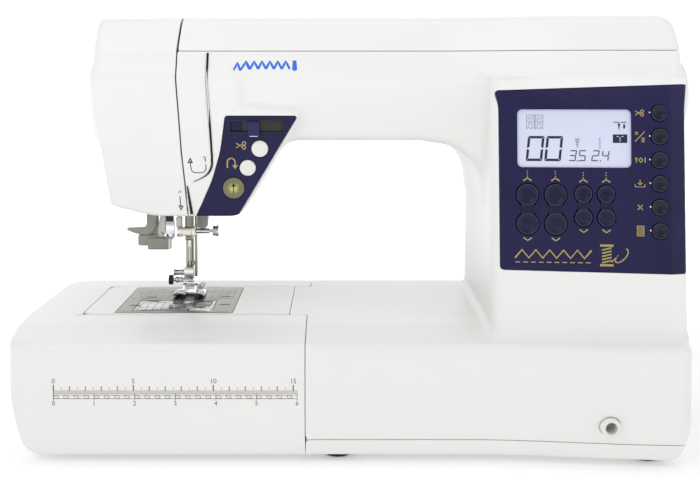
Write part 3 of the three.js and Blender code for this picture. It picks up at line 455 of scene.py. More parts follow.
def side(x=0, y=0, z=0):
    """Drawn from the right end, facing right."""
    return ways((0, 1, 0), (0, 0, 1), (1, 0, 0), (x, y, z))


def offset(points, distance):
    """An anticlockwise outline moved in by a distance; a clockwise one moves out."""
    before = points - np.roll(points, 1, axis=0)
    after = np.roll(points, -1, axis=0) - points
    before /= np.linalg.norm(before, axis=1, keepdims=True).clip(1e-9)
    after /= np.linalg.norm(after, axis=1, keepdims=True).clip(1e-9)
    a = np.stack([-before[:, 1], before[:, 0]], 1)
    b = np.stack([-after[:, 1], after[:, 0]], 1)
    return points + (a + b) * distance / (1 + (a * b).sum(1, keepdims=True)).clip(0.4)


def area(points):
    nxt = np.roll(points, -1, axis=0)
    return (points[:, 0] * nxt[:, 1] - nxt[:, 0] * points[:, 1]).sum() / 2


def plate(loops, low, high, bevel=0.3, place=None):
    """A flat piece between two heights. The first loop is its outline and the others are holes."""
    loops = [np.asarray(loop, float) for loop in loops]
    loops = [p if (area(p) > 0) == (k == 0) else p[::-1] for k, p in enumerate(loops)]
    bevel = min(bevel, (high - low) / 2.01)
    quarter = [math.radians(a) for a in (0, 30, 60, 90)]
    levels = [(high - bevel * (1 - math.cos(a)), bevel * (1 - math.sin(a))) for a in quarter]
    levels += [(low + bevel * (1 - math.sin(a)), bevel * (1 - math.cos(a))) for a in quarter]
    if bevel < 0.01:
        levels = [(high, 0), (low, 0)]
    edit = bmesh.new()
    caps = ([], [])
    for loop in loops:
        rings = []
        for height, inward in levels:
            moved = offset(loop, inward) if inward else loop
            rings.append([edit.verts.new((u, v, height)) for u, v in moved])
        count = len(loop)
        for upper, lower in zip(rings, rings[1:]):
            for i in range(count):
                j = (i + 1) % count
                edit.faces.new((upper[i], lower[i], lower[j], upper[j]))
        caps[0].append(rings[0])
        caps[1].append(rings[-1])
    for rings in caps:
        if len(rings) == 1:
            edit.faces.new(rings[0])
            continue
        edges = []
        for ring in rings:
            for a, b in zip(ring, ring[1:] + ring[:1]):
                edges.append(edit.edges.get((a, b)) or edit.edges.new((a, b)))
        bmesh.ops.triangle_fill(edit, use_beauty=True, edges=edges)
    bmesh.ops.recalc_face_normals(edit, faces=edit.faces)
    edit.verts.index_update()
    points = np.array([v.co for v in edit.verts])
    faces = [[v.index for v in f.verts] for f in edit.faces]
    edit.free()
    part = shaded(points, faces)
    return placed(part, place) if place is not None else part


def sheet(corners, low, high, bevel=0.3, place=None):
    """A plate without holes, whose outline is given by its corners."""
    return plate([rounded(corners)], low, high, bevel, place)


def block(low, high, bevel=0.4):
    """A box between two corners with rounded edges."""
    (x0, y0, z0), (x1, y1, z1) = low, high
    bevel = min(bevel, (x1 - x0) / 2.1, (y1 - y0) / 2.1, (z1 - z0) / 2.1)
    corners = [(x0, y0, bevel), (x1, y0, bevel), (x1, y1, bevel), (x0, y1, bevel)]
    return plate([rounded(corners, 30)], z0, z1, bevel)


def turned(profile, place=None, sides=48, step=15.0):
    """A round piece about the local z axis, from (radius, height, corner radius) points."""
    points = rounded(profile, step)
    points = points[np.r_[True, np.linalg.norm(np.diff(points, axis=0), axis=1) > 1e-4]]
    angles = np.arange(sides) * 2 * math.pi / sides
    count = len(points)
    ring = np.stack([np.cos(angles), np.sin(angles)], 1)
    co = np.concatenate([np.c_[ring * r, np.full(sides, h)] for r,
                         h in points.clip((0, -1e9), None)])
    faces = []
    for k in range(count):
        after = (k + 1) % count
        if points[k][0] < 1e-6 and points[after][0] < 1e-6:
            continue
        for i in range(sides):
            j = (i + 1) % sides
            faces.append([k * sides + i, k * sides + j, after * sides + j, after * sides + i])
    part = shaded(*without_doubles(co, faces))
    return placed(part, place) if place is not None else part


def without_doubles(points, faces):
    """Points at the same place made one, with faces that then have no area left out."""
    keys = np.round(points, 4)
    _, first, inverse = np.unique(keys, axis=0, return_index=True, return_inverse=True)
    inverse = inverse.reshape(-1)
    kept = []
    for face in faces:
        ring = []
        for i in face:
            if not ring or inverse[i] != ring[-1]:
                ring.append(int(inverse[i]))
        if ring[0] == ring[-1]:
            ring.pop()
        if len(ring) > 2:
            kept.append(ring)
    return points[first], kept


def tube(path, radius, sides=12):
    """A round bar along a path, with rounded ends."""
    path = np.asarray(path, float)
    after = np.roll(path, -1, axis=0) - path
    before = path - np.roll(path, 1, axis=0)
    after[-1], before[0] = before[-1], after[0]
    way = after / np.linalg.norm(after, axis=1, keepdims=True)
    way += before / np.linalg.norm(before, axis=1, keepdims=True)
    way /= np.linalg.norm(way, axis=1, keepdims=True)
    radii = np.broadcast_to(np.asarray(radius, float), len(path)).copy()
    caps = [math.radians(a) for a in (0, 30, 60)]
    low = [path[0] - way[0] * radii[0] * math.cos(a) * 0.5 for a in caps]
    high = [path[-1] + way[-1] * radii[-1] * math.cos(a) * 0.5 for a in reversed(caps)]
    radii = np.r_[
        [radii[0] * max(math.sin(a), 0.02) for a in caps],
        radii,
        [radii[-1] * max(math.sin(a), 0.02) for a in reversed(caps)],
    ]
    path = np.array([*low, *path, *high])
    way = np.array([way[0]] * 3 + [*way] + [way[-1]] * 3)
    guide = np.array([0, 0, 1.0]) if abs(way[:, 2]).mean() < 0.9 else np.array([0, 1.0, 0])
    across = np.cross(way, guide)
    across /= np.linalg.norm(across, axis=1, keepdims=True).clip(1e-9)
    up = np.cross(across, way)
    angles = np.arange(sides) * 2 * math.pi / sides
    co = np.concatenate(
        [p + r * (np.outer(np.cos(angles), a) + np.outer(np.sin(angles), u))
         for p, r, a, u in zip(path, radii, across, up)]
    )
    faces = []
    count = len(path)
    for k in range(count - 1):
        for i in range(sides):
            j = (i + 1) % sides
            faces.append([k * sides + i, k * sides + j, (k + 1) * sides + j, (k + 1) * sides + i])
    faces += [list(range(sides))[::-1], list(range((count - 1) * sides, count * sides))]
    return shaded(co, faces, 60)


def strokes(lines, width, place, high=0.12, low=-0.15):
    """Printed lines: each is a list of (u, v) points, drawn as a thin strip on a surface."""
    parts = []
    for line in lines:
        line = np.asarray(line, float)
        closed = np.allclose(line[0], line[-1]) and len(line) > 2
        if closed:
            ring = line[:-1]
            loops = [offset(ring, -width / 2), offset(ring, width / 2)]
            if area(ring) < 0:
                loops = [offset(ring, width / 2), offset(ring, -width / 2)]
            parts.append(plate(loops, low, high, 0, place))
            continue
        after = np.diff(line, axis=0)
        after = np.r_[after, after[-1:]]
        before = np.r_[after[:1], after[:-1]]
        way = after / np.linalg.norm(after, axis=1, keepdims=True)
        way += before / np.linalg.norm(before, axis=1, keepdims=True)
        way /= np.linalg.norm(way, axis=1, keepdims=True)
        aside = np.stack([-way[:, 1], way[:, 0]], 1) * width / 2
        ring = np.r_[line + aside, (line - aside)[::-1]]
        parts.append(plate([ring], low, high, 0, place))
    return parts


def rectangle(x0, y0, x1, y1, radius=1.0):
    return rounded([(x0, y0, radius), (x1, y0, radius), (x1, y1, radius), (x0, y1, radius)])


def circle(u, v, radius, count=32):
    angles = np.arange(count) * 2 * math.pi / count
    return np.stack([u + radius * np.cos(angles), v + radius * np.sin(angles)], 1)


def arc(u, v, radius, start, end, count=12):
    angles = np.radians(np.linspace(start, end, count))
    return [(u + radius * math.cos(a), v + radius * math.sin(a)) for a in angles]


def numerals(text, size, place, depth=0.12):
    """Plain figures, printed on a surface and centred on the place."""
    curve = bpy.data.curves.new("scratch", "FONT")
    curve.body = text
    curve.size = size
    curve.extrude = depth
    curve.align_x, curve.align_y = "CENTER", "CENTER"
    holder = bpy.data.objects.new("scratch", curve)
    mesh = bpy.data.meshes.new_from_object(holder)
    points = np.array([v.co for v in mesh.vertices])
    faces = [list(p.vertices) for p in mesh.polygons]
    bpy.data.objects.remove(holder)
    bpy.data.curves.remove(curve)
    bpy.data.meshes.remove(mesh)
    return placed(shaded(points, faces), place)


def piece(name, parts, material, body, replaced=()):
    """One visible piece of the machine, riding on a body of the frame."""
    whole = merged(parts)
    mesh = bpy.data.meshes.new(name)
    mesh.from_pydata([tuple(p) for p in whole.points * MM], [], whole.faces)
    mesh.polygons.foreach_set("use_smooth", [True] * len(mesh.polygons))
    mesh.update()
    mesh.normals_split_custom_set([tuple(n) for n in whole.normals])
    mesh.materials.append(material)
    thing = bpy.data.objects.new(name, mesh)
    bpy.context.scene.collection.objects.link(thing)
    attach(thing, body)
    if replaced:
        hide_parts(*replaced)
    return thing


# ---- Skins: covers cut out of the body's surface ---------------------------------------------


def clip(points, faces, normals, value):
    """The part of a surface where a value at its points is negative, cut where it is zero."""
    inside = value < 0
    count = inside[faces].sum(1)
    kept = faces[count == faces.shape[1]].tolist()
    cuts = {}
    new_points, new_normals = [], []

    def cut(a, b):
        key = (a, b) if a < b else (b, a)
        if key not in cuts:
            i, j = key
            t = value[i] / (value[i] - value[j])
            cuts[key] = len(points) + len(new_points)
            new_points.append(points[i] + t * (points[j] - points[i]))
            new_normals.append(normals[i] + t * (normals[j] - normals[i]))
        return cuts[key]

    for face in faces[(count > 0) & (count < faces.shape[1])].tolist():
        ring = []
        for a, b in zip(face, face[1:] + face[:1]):
            if inside[a]:
                ring.append(a)
            if inside[a] != inside[b]:
                ring.append(cut(a, b))
        if len(ring) > 2:
            kept.append(ring)
    if new_points:
        points = np.concatenate([points, new_points])
        normals = np.concatenate([normals, new_normals])
    used = np.unique(np.concatenate([np.array(f) for f in kept]))
    number = np.full(len(points), -1)
    number[used] = np.arange(len(used))
    kept = [[int(number[i]) for i in ring] for ring in kept]
    return points[used], kept, normals[used], used >= len(inside)


def unit(vectors):
    return vectors / np.linalg.norm(vectors, axis=1, keepdims=True).clip(1e-9)


def skin(source, region, wall=WALL, soften=0.35, seam=0.25):
    """A cover of a given wall: the surface inside a region, with softened rims along its seams."""
    points, faces, normals = source

    def field(x, y, z):
        return region(x, y, z) + seam + soften

    p, faces, n, rim = clip(points, faces, normals, field(*points.T))
    n = unit(n)
    if rim.any():
        for _ in range(2):
            slope = unit(gradient(field, p[rim], 0.3))
            slope = unit(slope - (slope * n[rim]).sum(1, keepdims=True) * n[rim])
            p[rim] -= slope * field(*p[rim].T)[:, None].clip(-1, 1)
    count = len(p)
    edges = {}
    for ring in faces:
        for a, b in zip(ring, ring[1:] + ring[:1]):
            edges[(a, b)] = edges.get((a, b), 0) + 1
    border = [(a, b) for a, b in edges if (b, a) not in edges]
    where = sorted({i for edge in border for i in edge})
    place = {i: k for k, i in enumerate(where)}
    t = np.zeros((0, 3))
    if where:
        t = gradient(field, p[where], 0.3)
        t = unit(t - (t * n[where]).sum(1, keepdims=True) * n[where])
    at, m = p[where], n[where]
    rings = [
        (at + t * soften * 0.5 - m * soften * 0.13, unit(m + 0.58 * t)),
        (at + t * soften * 0.87 - m * soften * 0.5, unit(0.58 * m + t)),
        (at + t * soften - m * soften, t),
        (at + t * soften - m * wall, t),
    ]
    all_points = [p] + [r for r, _ in rings] + [p - n * wall]
    starts = [0] + [count + k * len(where) for k in range(len(rings) + 1)]
    out_faces = list(faces)
    out_normals = [n[i] for ring in faces for i in ring]
    levels = [(0, m)] + [(starts[k + 1], normal) for k, (_, normal) in enumerate(rings)]
    for (start_a, normal_a), (start_b, normal_b) in zip(levels, levels[1:]):
        for a, b in border:
            i, j = place[a], place[b]
            first = (a, b) if start_a == 0 else (start_a + i, start_a + j)
            out_faces.append([first[1], first[0], start_b + i, start_b + j])
            out_normals += [normal_a[j], normal_a[i], normal_b[i], normal_b[j]]
    inner = starts[-1]
    for ring in faces:
        out_faces.append([inner + i for i in reversed(ring)])
        out_normals += [-n[i] for i in reversed(ring)]
    last = starts[-2]
    for a, b in border:
        i, j = place[a], place[b]
        out_faces.append([last + j, last + i, inner + a, inner + b])
        out_normals += [-m[j], -m[i], -m[i], -m[j]]
    return Part(np.concatenate(all_points), out_faces, np.array(out_normals))


def box_distance(x, y, z, low, high):
    """Roughly the distance to a box, negative inside. None leaves a side open."""
    values = []
    for at, a, b in zip((x, y, z), low, high):
        if a is not None:
            values.append(a - at)
        if b is not None:
            values.append(at - b)
    result = values[0]
    for value in values[1:]:
        result = np.maximum(result, value)
    return result


def outline_of(corners):
    """A distance function of (x, z) from an outline."""
    points = rounded(corners)
    return lambda x, z: outline_distance(points, np.asarray(x, float), np.asarray(z, float))


# ---- Materials -------------------------------------------------------------------------------


GRAIN_DEPTH = 0.2


def link(tree, a, b):
    tree.links.new(a, b)


def finish_of(name, colour, roughness, metallic=0.0, grain=0.0, grain_size=0.6, shade=0.03,
              patch=30.0, stretch=(1, 1, 1), specular=0.5):
    """A finish with slow changes of colour and gloss, and a fine grain. Sizes in millimetres."""
    material = bpy.data.materials.new(name)
    material.use_nodes = True
    tree = material.node_tree
    shader = tree.nodes["Principled BSDF"]
    shader.inputs["Metallic"].default_value = metallic
    shader.inputs["Specular IOR Level"].default_value = specular
    where = tree.nodes.new("ShaderNodeTexCoord")
    spread = tree.nodes.new("ShaderNodeMapping")
    spread.inputs["Scale"].default_value = stretch
    link(tree, where.outputs["Object"], spread.inputs["Vector"])
    cloud = tree.nodes.new("ShaderNodeTexNoise")
    cloud.inputs["Scale"].default_value = 1000.0 / patch
    cloud.inputs["Detail"].default_value = 3.0
    link(tree, spread.outputs["Vector"], cloud.inputs["Vector"])
    ramp = tree.nodes.new("ShaderNodeValToRGB")
    dark = [c * (1 - shade) for c in colour]
    light = [min(1.0, c * (1 + shade)) for c in colour]
    ramp.color_ramp.elements[0].position, ramp.color_ramp.elements[1].position = 0.3, 0.7
    ramp.color_ramp.elements[0].color = (*dark, 1)
    ramp.color_ramp.elements[1].color = (*light, 1)
    link(tree, cloud.outputs["Fac"], ramp.inputs["Fac"])
    link(tree, ramp.outputs["Color"], shader.inputs["Base Color"])
    gloss = tree.nodes.new("ShaderNodeMapRange")
    gloss.inputs["To Min"].default_value = roughness * 0.88
    gloss.inputs["To Max"].default_value = roughness * 1.12
    link(tree, cloud.outputs["Fac"], gloss.inputs["Value"])
    link(tree, gloss.outputs["Result"], shader.inputs["Roughness"])
    if grain:
        fine = tree.nodes.new("ShaderNodeTexNoise")
        fine.inputs["Scale"].default_value = 1000.0 / grain_size
        fine.inputs["Detail"].default_value = 2.0
        bump = tree.nodes.new("ShaderNodeBump")
        bump.inputs["Strength"].default_value = grain
        bump.inputs["Distance"].default_value = GRAIN_DEPTH * MM
        link(tree, spread.outputs["Vector"], fine.inputs["Vector"])
        link(tree, fine.outputs["Fac"], bump.inputs["Height"])
        link(tree, bump.outputs["Normal"], shader.inputs["Normal"])
    return material


def glowing(material, colour, strength):
    shader = material.node_tree.nodes["Principled BSDF"]
    shader.inputs["Emission Color"].default_value = (*colour, 1)
    shader.inputs["Emission Strength"].default_value = strength
    return material


def lit_from(material, centre, near, far, colour, strength, strength_far=0.0):
    """A glow that changes with the distance from a centre, between a near and a far distance."""
    tree = material.node_tree
    where = tree.nodes.new("ShaderNodeTexCoord")
    apart = tree.nodes.new("ShaderNodeVectorMath")
    apart.operation = "DISTANCE"
    apart.inputs[1].default_value = [c * MM for c in centre]
    fade = tree.nodes.new("ShaderNodeMapRange")
    fade.interpolation_type = "SMOOTHSTEP"
    fade.inputs["From Min"].default_value = near * MM
    fade.inputs["From Max"].default_value = far * MM
    fade.inputs["To Min"].default_value = strength
    fade.inputs["To Max"].default_value = strength_far
    link(tree, where.outputs["Object"], apart.inputs[0])
    link(tree, apart.outputs["Value"], fade.inputs["Value"])
    shader = tree.nodes["Principled BSDF"]
    shader.inputs["Emission Color"].default_value = (*colour, 1)
    link(tree, fade.outputs["Result"], shader.inputs["Emission Strength"])


def clear(name, colour, roughness):
    material = finish_of(name, colour, roughness, shade=0.01)
    shader = material.node_tree.nodes["Principled BSDF"]
    shader.inputs["Transmission Weight"].default_value = 1.0
    shader.inputs["IOR"].default_value = 1.3
    return material


WHITE = finish_of("white_shell", (0.86, 0.858, 0.845), 0.36, grain=0.05, shade=0.006, patch=60)
NAVY = finish_of("navy_panel", (0.017, 0.016, 0.066), 0.34, grain=0.06, shade=0.12, patch=45,
                 specular=0.16)
SLIDE_NAVY = finish_of("navy_slider", (0.018, 0.018, 0.1), 0.3, grain=0.05, shade=0.1, patch=8,
                       specular=0.3)
ROCKER_NAVY = finish_of("navy_rockers", (0.012, 0.012, 0.044), 0.28, grain=0.05, shade=0.1, patch=8,
                        specular=0.22)
# The key rims are partly their own dark navy and partly painted highlight: lighter than the keys
# all round, so the rims read as lit arcs.
KEY_RIM_HIGHLIGHT = finish_of("key_rim_highlights", (0.05, 0.05, 0.11), 0.2, shade=0.1, patch=4, specular=0.5)
KEY = finish_of("navy_keys", (0.008, 0.008, 0.022), 0.24, grain=0.05, shade=0.1, patch=8,
                specular=0.3)
GOLD = finish_of("gold_ink", (0.42, 0.33, 0.11), 0.42, metallic=0.35, grain=0.05, shade=0.08,
                 patch=3)
INK = finish_of("dark_ink", (0.02, 0.02, 0.022), 0.5, shade=0.1, patch=4)
GREY_INK = finish_of("grey_ink", (0.12, 0.12, 0.12), 0.5, shade=0.1, patch=4)
RED_INK = finish_of("red_ink", (0.45, 0.05, 0.05), 0.5, shade=0.1, patch=4)
BLUE_INK = finish_of("blue_ink", (0.03, 0.16, 0.72), 0.4, shade=0.05, patch=5)
LCD = glowing(finish_of("display_glass", (0.6, 0.63, 0.78), 0.25, shade=0.03, patch=35),
              (0.62, 0.66, 0.85), 0.14)
LCD_DARK = finish_of("display_segments", (0.012, 0.01, 0.055), 0.3, shade=0.1, patch=4)
LCD_GREY = finish_of("display_faint", (0.2, 0.2, 0.3), 0.35, shade=0.1, patch=4)
IVORY = finish_of("ivory_plastic", (0.78, 0.77, 0.73), 0.4, grain=0.06, shade=0.02, patch=12)
BUTTON = finish_of("white_button", (0.82, 0.81, 0.77), 0.38, grain=0.05, shade=0.015, patch=10)
START = finish_of("start_key", (0.2, 0.19, 0.11), 0.4, shade=0.08, patch=5, specular=0.3)
BLACK = finish_of("black_plastic", (0.014, 0.014, 0.015), 0.45, grain=0.1, shade=0.1, patch=8)
# Painted shade: a near-black finish laid over slots, slits and the needle's eye, standing in for
# the shade inside these openings.
HOLE_SHADE = finish_of("painted_hole_shade", (0.006, 0.006, 0.006), 0.8, grain=0.05, shade=0.1, patch=10)
RUBBER = finish_of("rubber", (0.02, 0.02, 0.021), 0.85, grain=0.25, shade=0.12, patch=6)
CAST = finish_of("cast_frame", (0.42, 0.43, 0.44), 0.55, metallic=0.85, grain=0.5, grain_size=1.2,
                 shade=0.1)
STEEL = finish_of("steel", (0.5, 0.5, 0.51), 0.3, metallic=1, grain=0.15, grain_size=0.5,
                  shade=0.06, patch=6, stretch=(1, 1, 8))
IVORY_METAL = finish_of("nickelled_block", (0.78, 0.75, 0.68), 0.26, metallic=0.85, grain=0.06,
                        shade=0.05, patch=6)
DARK_STEEL = finish_of("dark_steel", (0.24, 0.225, 0.19), 0.24, metallic=1, grain=0.08, shade=0.08,
                       patch=6, stretch=(1, 1, 8))
BAR_STEEL = finish_of("bar_steel", (0.36, 0.325, 0.27), 0.26, metallic=1, grain=0.1, shade=0.08,
                      patch=6, stretch=(1, 1, 8))
BLACK_METAL = finish_of("blacked_steel", (0.03, 0.03, 0.034), 0.3, metallic=0.7, grain=0.1,
                        shade=0.1, patch=4)
PLATED = finish_of("plated_steel", (0.72, 0.72, 0.74), 0.16, metallic=1, grain=0.04, shade=0.05,
                   patch=7)
BRUSHED = finish_of("brushed_plate", (0.22, 0.215, 0.19), 0.36, metallic=1, grain=0.35,
                    grain_size=0.7, shade=0.07, patch=12, stretch=(0.05, 1, 1))
BELT = finish_of("belt_rubber", (0.03, 0.03, 0.031), 0.75, grain=0.3, shade=0.12, patch=5)
CLEAR = clear("clear_plastic", (0.9, 0.93, 0.95), 0.06)
GREY = finish_of("grey_plastic", (0.33, 0.33, 0.295), 0.42, grain=0.08, shade=0.04, patch=7)
PALE_GREY = finish_of("pale_grey_plastic", (0.5, 0.5, 0.48), 0.42, grain=0.08, shade=0.04, patch=7)
MOTOR = finish_of("motor_case", (0.09, 0.09, 0.1), 0.4, metallic=0.3, grain=0.15, shade=0.08,
                  patch=9)
BOARD = finish_of("circuit_board", (0.02, 0.16, 0.07), 0.4, grain=0.1, shade=0.15, patch=4)
THREAD = finish_of("thread", (0.75, 0.74, 0.7), 0.8, grain=0.8, grain_size=0.35, shade=0.08,
                   patch=2, stretch=(6, 1, 1))
SLOT_FINISH = {
    "white_shell": WHITE, "navy_panel": NAVY, "display": LCD, "ivory_plastic": IVORY,
    "start_key": START, "black_plastic": BLACK, "rubber": RUBBER, "cast_frame": CAST,
    "steel": STEEL, "plated_steel": PLATED, "belt_rubber": BELT, "clear_plastic": CLEAR,
    "grey_plastic": GREY, "motor_case": MOTOR,
}

# The frame's own nodes that stay get the finish of their slot.
for subpart in frame["record"]["subparts"]:
    node = frame["nodes"][subpart["node"]]
    node.data.materials.clear()
    node.data.materials.append(SLOT_FINISH[subpart["material_slot"]])

# ---- Regions of the body's surface -----------------------------------------------------------


def seam_x(z):
    """The seam beside the needle."""
    return np.interp(z, [140, 171, 195, 243, 262, 300],
                     [-118, -120.2, -122.4, -124.6, -124.3, -121])


PANEL = outline_of(
    [(85.5, 122.5, 2), (194, 121, 3), (230, 121), (230, 241), (82.2, 236, 2), (85, 226, 14)]
)
HEAD_PANEL = outline_of(
    [
        (-118.2, 140), (-79, 140), (-84, 153), (-44.3, 219, 1), (-92.5, 219, 1),
        (-96, 195.4, 60), (-102, 175.4, 40),
    ]
)


def face_region(x, y, z):
    return np.maximum(x - seam_x(z), FACE_FOOT - z)


def lid_region(x, y, z):
    return np.maximum(seam_x(z) + 0.8 - x, LID_SEAM - z)


def panel_region(x, y, z):
    return np.maximum(PANEL(x, z), y + 56)


def head_panel_region(x, y, z):
    return np.maximum(HEAD_PANEL(x, z), y + 21.5)


def table_region(x, y, z):
    room = box_distance(x, y, z, (FREE_LEFT - 0.2, FREE_FRONT - 0.2, None),
                        (None, FREE_BACK + 0.2, None))
    return np.maximum(x - TABLE_SEAM, -room)


def bed_region(x, y, z):
    """The bed right of the extension table, with the stub that carries the free arm."""
    stub = box_distance(x, y, z, (ARM_SEAM, FREE_FRONT, 60), (None, FREE_BACK, None))
    return np.minimum(TABLE_SEAM - x, stub)


def door_region(x, y, z):
    return box_distance(x, y, z, (None, -58, 44), (LEFT + 3.4, 72, None))


KNEE = (151.0, 28.0)
INLET_Y, INLET_Z, INLET_WIDTH, INLET_HEIGHT = 44.0, 52.0, 25.0, 19.0
SWITCH_Y, SWITCH_Z, SWITCH_WIDTH, SWITCH_HEIGHT = 12.0, 52.0, 13.0, 20.0
SHAFT_Y, SHAFT_Z = 27.0, 232.0


def holes(x, y, z):
    """The head's openings below, and the holes for the socket, inlet, switch and shaft."""
    head = box_distance(x, y, z, (-158, 10, 145), (-104, 60, 164))
    lever = box_distance(x, y, z, (-106, 46, 145), (-84, 59.5, 160))
    knee = np.maximum(np.hypot(x - KNEE[0], z - KNEE[1]) - 6.4, y + 70)
    shaft = np.maximum(np.hypot(y - SHAFT_Y, z - SHAFT_Z) - 8, 190 - x)
    inlet = box_distance(
        x, y, z,
        (190, INLET_Y - INLET_WIDTH / 2, INLET_Z - INLET_HEIGHT / 2),
        (None, INLET_Y + INLET_WIDTH / 2, INLET_Z + INLET_HEIGHT / 2),
    )
    switch = box_distance(
        x, y, z,
        (190, SWITCH_Y - SWITCH_WIDTH / 2, SWITCH_Z - SWITCH_HEIGHT / 2 - 1.8),
        (None, SWITCH_Y + SWITCH_WIDTH / 2, SWITCH_Z + SWITCH_HEIGHT / 2 + 1.8),
    )
    found = np.minimum(np.minimum(head, lever), np.minimum(knee, shaft))
    return np.minimum(found, np.minimum(inlet, switch))


def upper_region(x, y, z):
    """All of the column, arm and head that is neither lid, face nor panel."""
    face = np.maximum(x - seam_x(z) - 0.4, FACE_FOOT - z)
    lid = np.maximum(seam_x(z) + 0.4 - x, LID_SEAM - z)
    panels = np.minimum(panel_region(x, y, z), head_panel_region(x, y, z))
    return -np.minimum(np.minimum(np.minimum(face, lid), panels), holes(x, y, z))


def cover_split(y, z):
    """Below zero in the front cover, above it in the rear one. The bed's top is all front cover."""
    low = np.minimum(y - BACK + 10, BED_TOP - 6 - z)
    return np.where(z < BED_TOP + 8, low, y - SPLIT_Y)


def cover_region(half, x, y, z):
    """One of the two big covers, on its side of their seam and clear of the extension table."""
    bed = np.where(z < BED_LIMIT, bed_region(x, y, z), -FAR)
    return np.maximum(np.maximum(np.maximum(half, bed), PAN_TOP - z), upper_region(x, y, z))


def front_region(x, y, z):
    return cover_region(cover_split(y, z), x, y, z)


def rear_region(x, y, z):
    return cover_region(-cover_split(y, z), x, y, z)


def pan_region(x, y, z):
    return np.maximum(TABLE_SEAM - x, z - PAN_TOP)


# ---- White covers ----------------------------------------------------------------------------

BODY_BOX = ((LEFT - 6, BED_FRONT - BOW - 6, BASE_BOTTOM - 5), (RIGHT + 6, BACK + 6, ARM_TOP + 6))
body_surface = surface(body_field, *BODY_BOX, GRID)


def table_surface_part():
    """The base's surface round the extension table, and the table's skin without the storage door.
    """
    low = (LEFT - 6, BED_FRONT - 6, BASE_BOTTOM - 5)
    high = (TABLE_SEAM + 8, BACK + 6, BED_TOP + 6)
    base = surface(base_field, low, high, GRID)

    def region(x, y, z):
        return np.maximum(table_region(x, y, z), -door_region(x, y, z))

    return base, skin(base, region, soften=0.22, seam=0.16)


def end_wall(x, keep_front, keep_back):
    """Upright walls across the base at x, in front of and behind the free arm."""
    outline = offset(rounded(BASE_SIDE_CORNERS), 0.9)
    parts = []
    for limit, sign in ((keep_front, 1), (keep_back, -1)):
        ring = []
        for a, b in zip(outline, np.roll(outline, -1, axis=0)):
            da, db = sign * (a[0] - limit), sign * (b[0] - limit)
            if da < 0:
                ring.append(a)
            if (da < 0) != (db < 0):
                ring.append(a + (b - a) * da / (da - db))
        parts.append(plate([np.array(ring)], 0, WALL, 0.2, side(x)))
    return parts


def build_table():
    base, shell = table_surface_part()
    x = TABLE_SEAM - 1.0 - WALL
    front_y, back_y, left_x = FREE_FRONT - 0.1, FREE_BACK + 0.1, FREE_LEFT - 0.1
    low, high = BASE_BOTTOM + 0.6, BED_TOP - 0.5
    walls = [
        block((left_x - WALL, front_y - WALL, low), (x + WALL, front_y, high), 0.2),
        block((left_x - WALL, back_y, low), (x + WALL, back_y + WALL, high), 0.2),
        block((left_x - WALL, front_y - WALL, low), (left_x, back_y + WALL, high), 0.2),
    ]
    piece("table_shell", [shell, *walls, *end_wall(x, front_y, back_y)], WHITE, "table",
          ["extension_table"])
    door = skin(base, door_region)
    middle = (BED_TOP + 44) / 2
    catches = [block((LEFT + 2.0, y - 5, BED_TOP - 10), (LEFT + 6, y + 5, BED_TOP - 6), 0.5)
               for y in (-40, 54)]
    ribs = [block((LEFT + 2.2, y - 0.8, 50), (LEFT + 4, y + 0.8, middle + 8), 0.3)
            for y in range(-45, 70, 13)]
    piece("storage_door_panel", [door, *catches, *ribs], WHITE, "door", ["storage_door"])


def open_face_region(x, y, z):
    return np.maximum(face_region(x, y, z), -holes(x, y, z))


def build_body():
    stub_low, stub_high = FREE_BOTTOM, BED_TOP - 1.0
    left, right = ARM_SEAM + 0.3, TABLE_SEAM + 4
    stub = [
        block((left, FREE_FRONT, stub_low), (right, FREE_FRONT + WALL, stub_high), 0.4),
        block((left, FREE_BACK - WALL, stub_low), (right, FREE_BACK, stub_high), 0.4),
        block((left, FREE_FRONT, stub_low), (right, FREE_BACK, stub_low + WALL), 0.4),
    ]
    wall = end_wall(TABLE_SEAM + 1.0, FREE_FRONT + 0.3, FREE_BACK - 0.3)
    lower_wall = block((TABLE_SEAM + 1, FREE_FRONT - 1, BASE_BOTTOM + 1),
                       (TABLE_SEAM + 1 + WALL, FREE_BACK + 1, FREE_BOTTOM + 1), 0.3)
    piece("front_shell", [skin(body_surface, front_region), *stub, *wall, lower_wall], WHITE,
          "machine", ["front_cover"])
    deck = block((-95, -28, DECK - 2.4), (196, ARM_BACK - 2, DECK), 0.6)
    piece("rear_shell", [skin(body_surface, rear_region), deck, *hinge_ears()], WHITE, "machine",
          ["rear_cover"])
    piece("face_shell", [skin(body_surface, open_face_region)], WHITE, "machine", ["face_cover"])
    piece("lid_shell", [skin(body_surface, lid_region), *lid_barrels()], WHITE, "lid", ["top_lid"])
    piece("base_pan_shell", [skin(body_surface, pan_region)], WHITE, "machine", ["base_pan"])


HINGE_Y, HINGE_PLACES = ARM_BACK + 2.8, (-60, 150)


def hinge_ears():
    parts = []
    for x in HINGE_PLACES:
        for start in (x - 12, x + 5.5):
            parts.append(turned([(0, 0), (2.4, 0, 0.4), (2.4, 6.5, 0.4), (0, 6.5)],
                                side(start, HINGE_Y, LID_SEAM), 24))
            parts.append(block((start, HINGE_Y - 4, LID_SEAM - 2.2),
                               (start + 6.5, HINGE_Y, LID_SEAM - 0.6), 0.3))
    return parts


def lid_barrels():
    parts = []
    for x in HINGE_PLACES:
        parts.append(turned([(0, 0), (2.4, 0, 0.4), (2.4, 10, 0.4), (0, 10)],
                            side(x - 5, HINGE_Y, LID_SEAM), 24))
        parts.append(block((x - 5, HINGE_Y - 5.5, LID_SEAM + 0.6), (x + 5, HINGE_Y, LID_SEAM + 2.2),
                           0.3))
    return parts


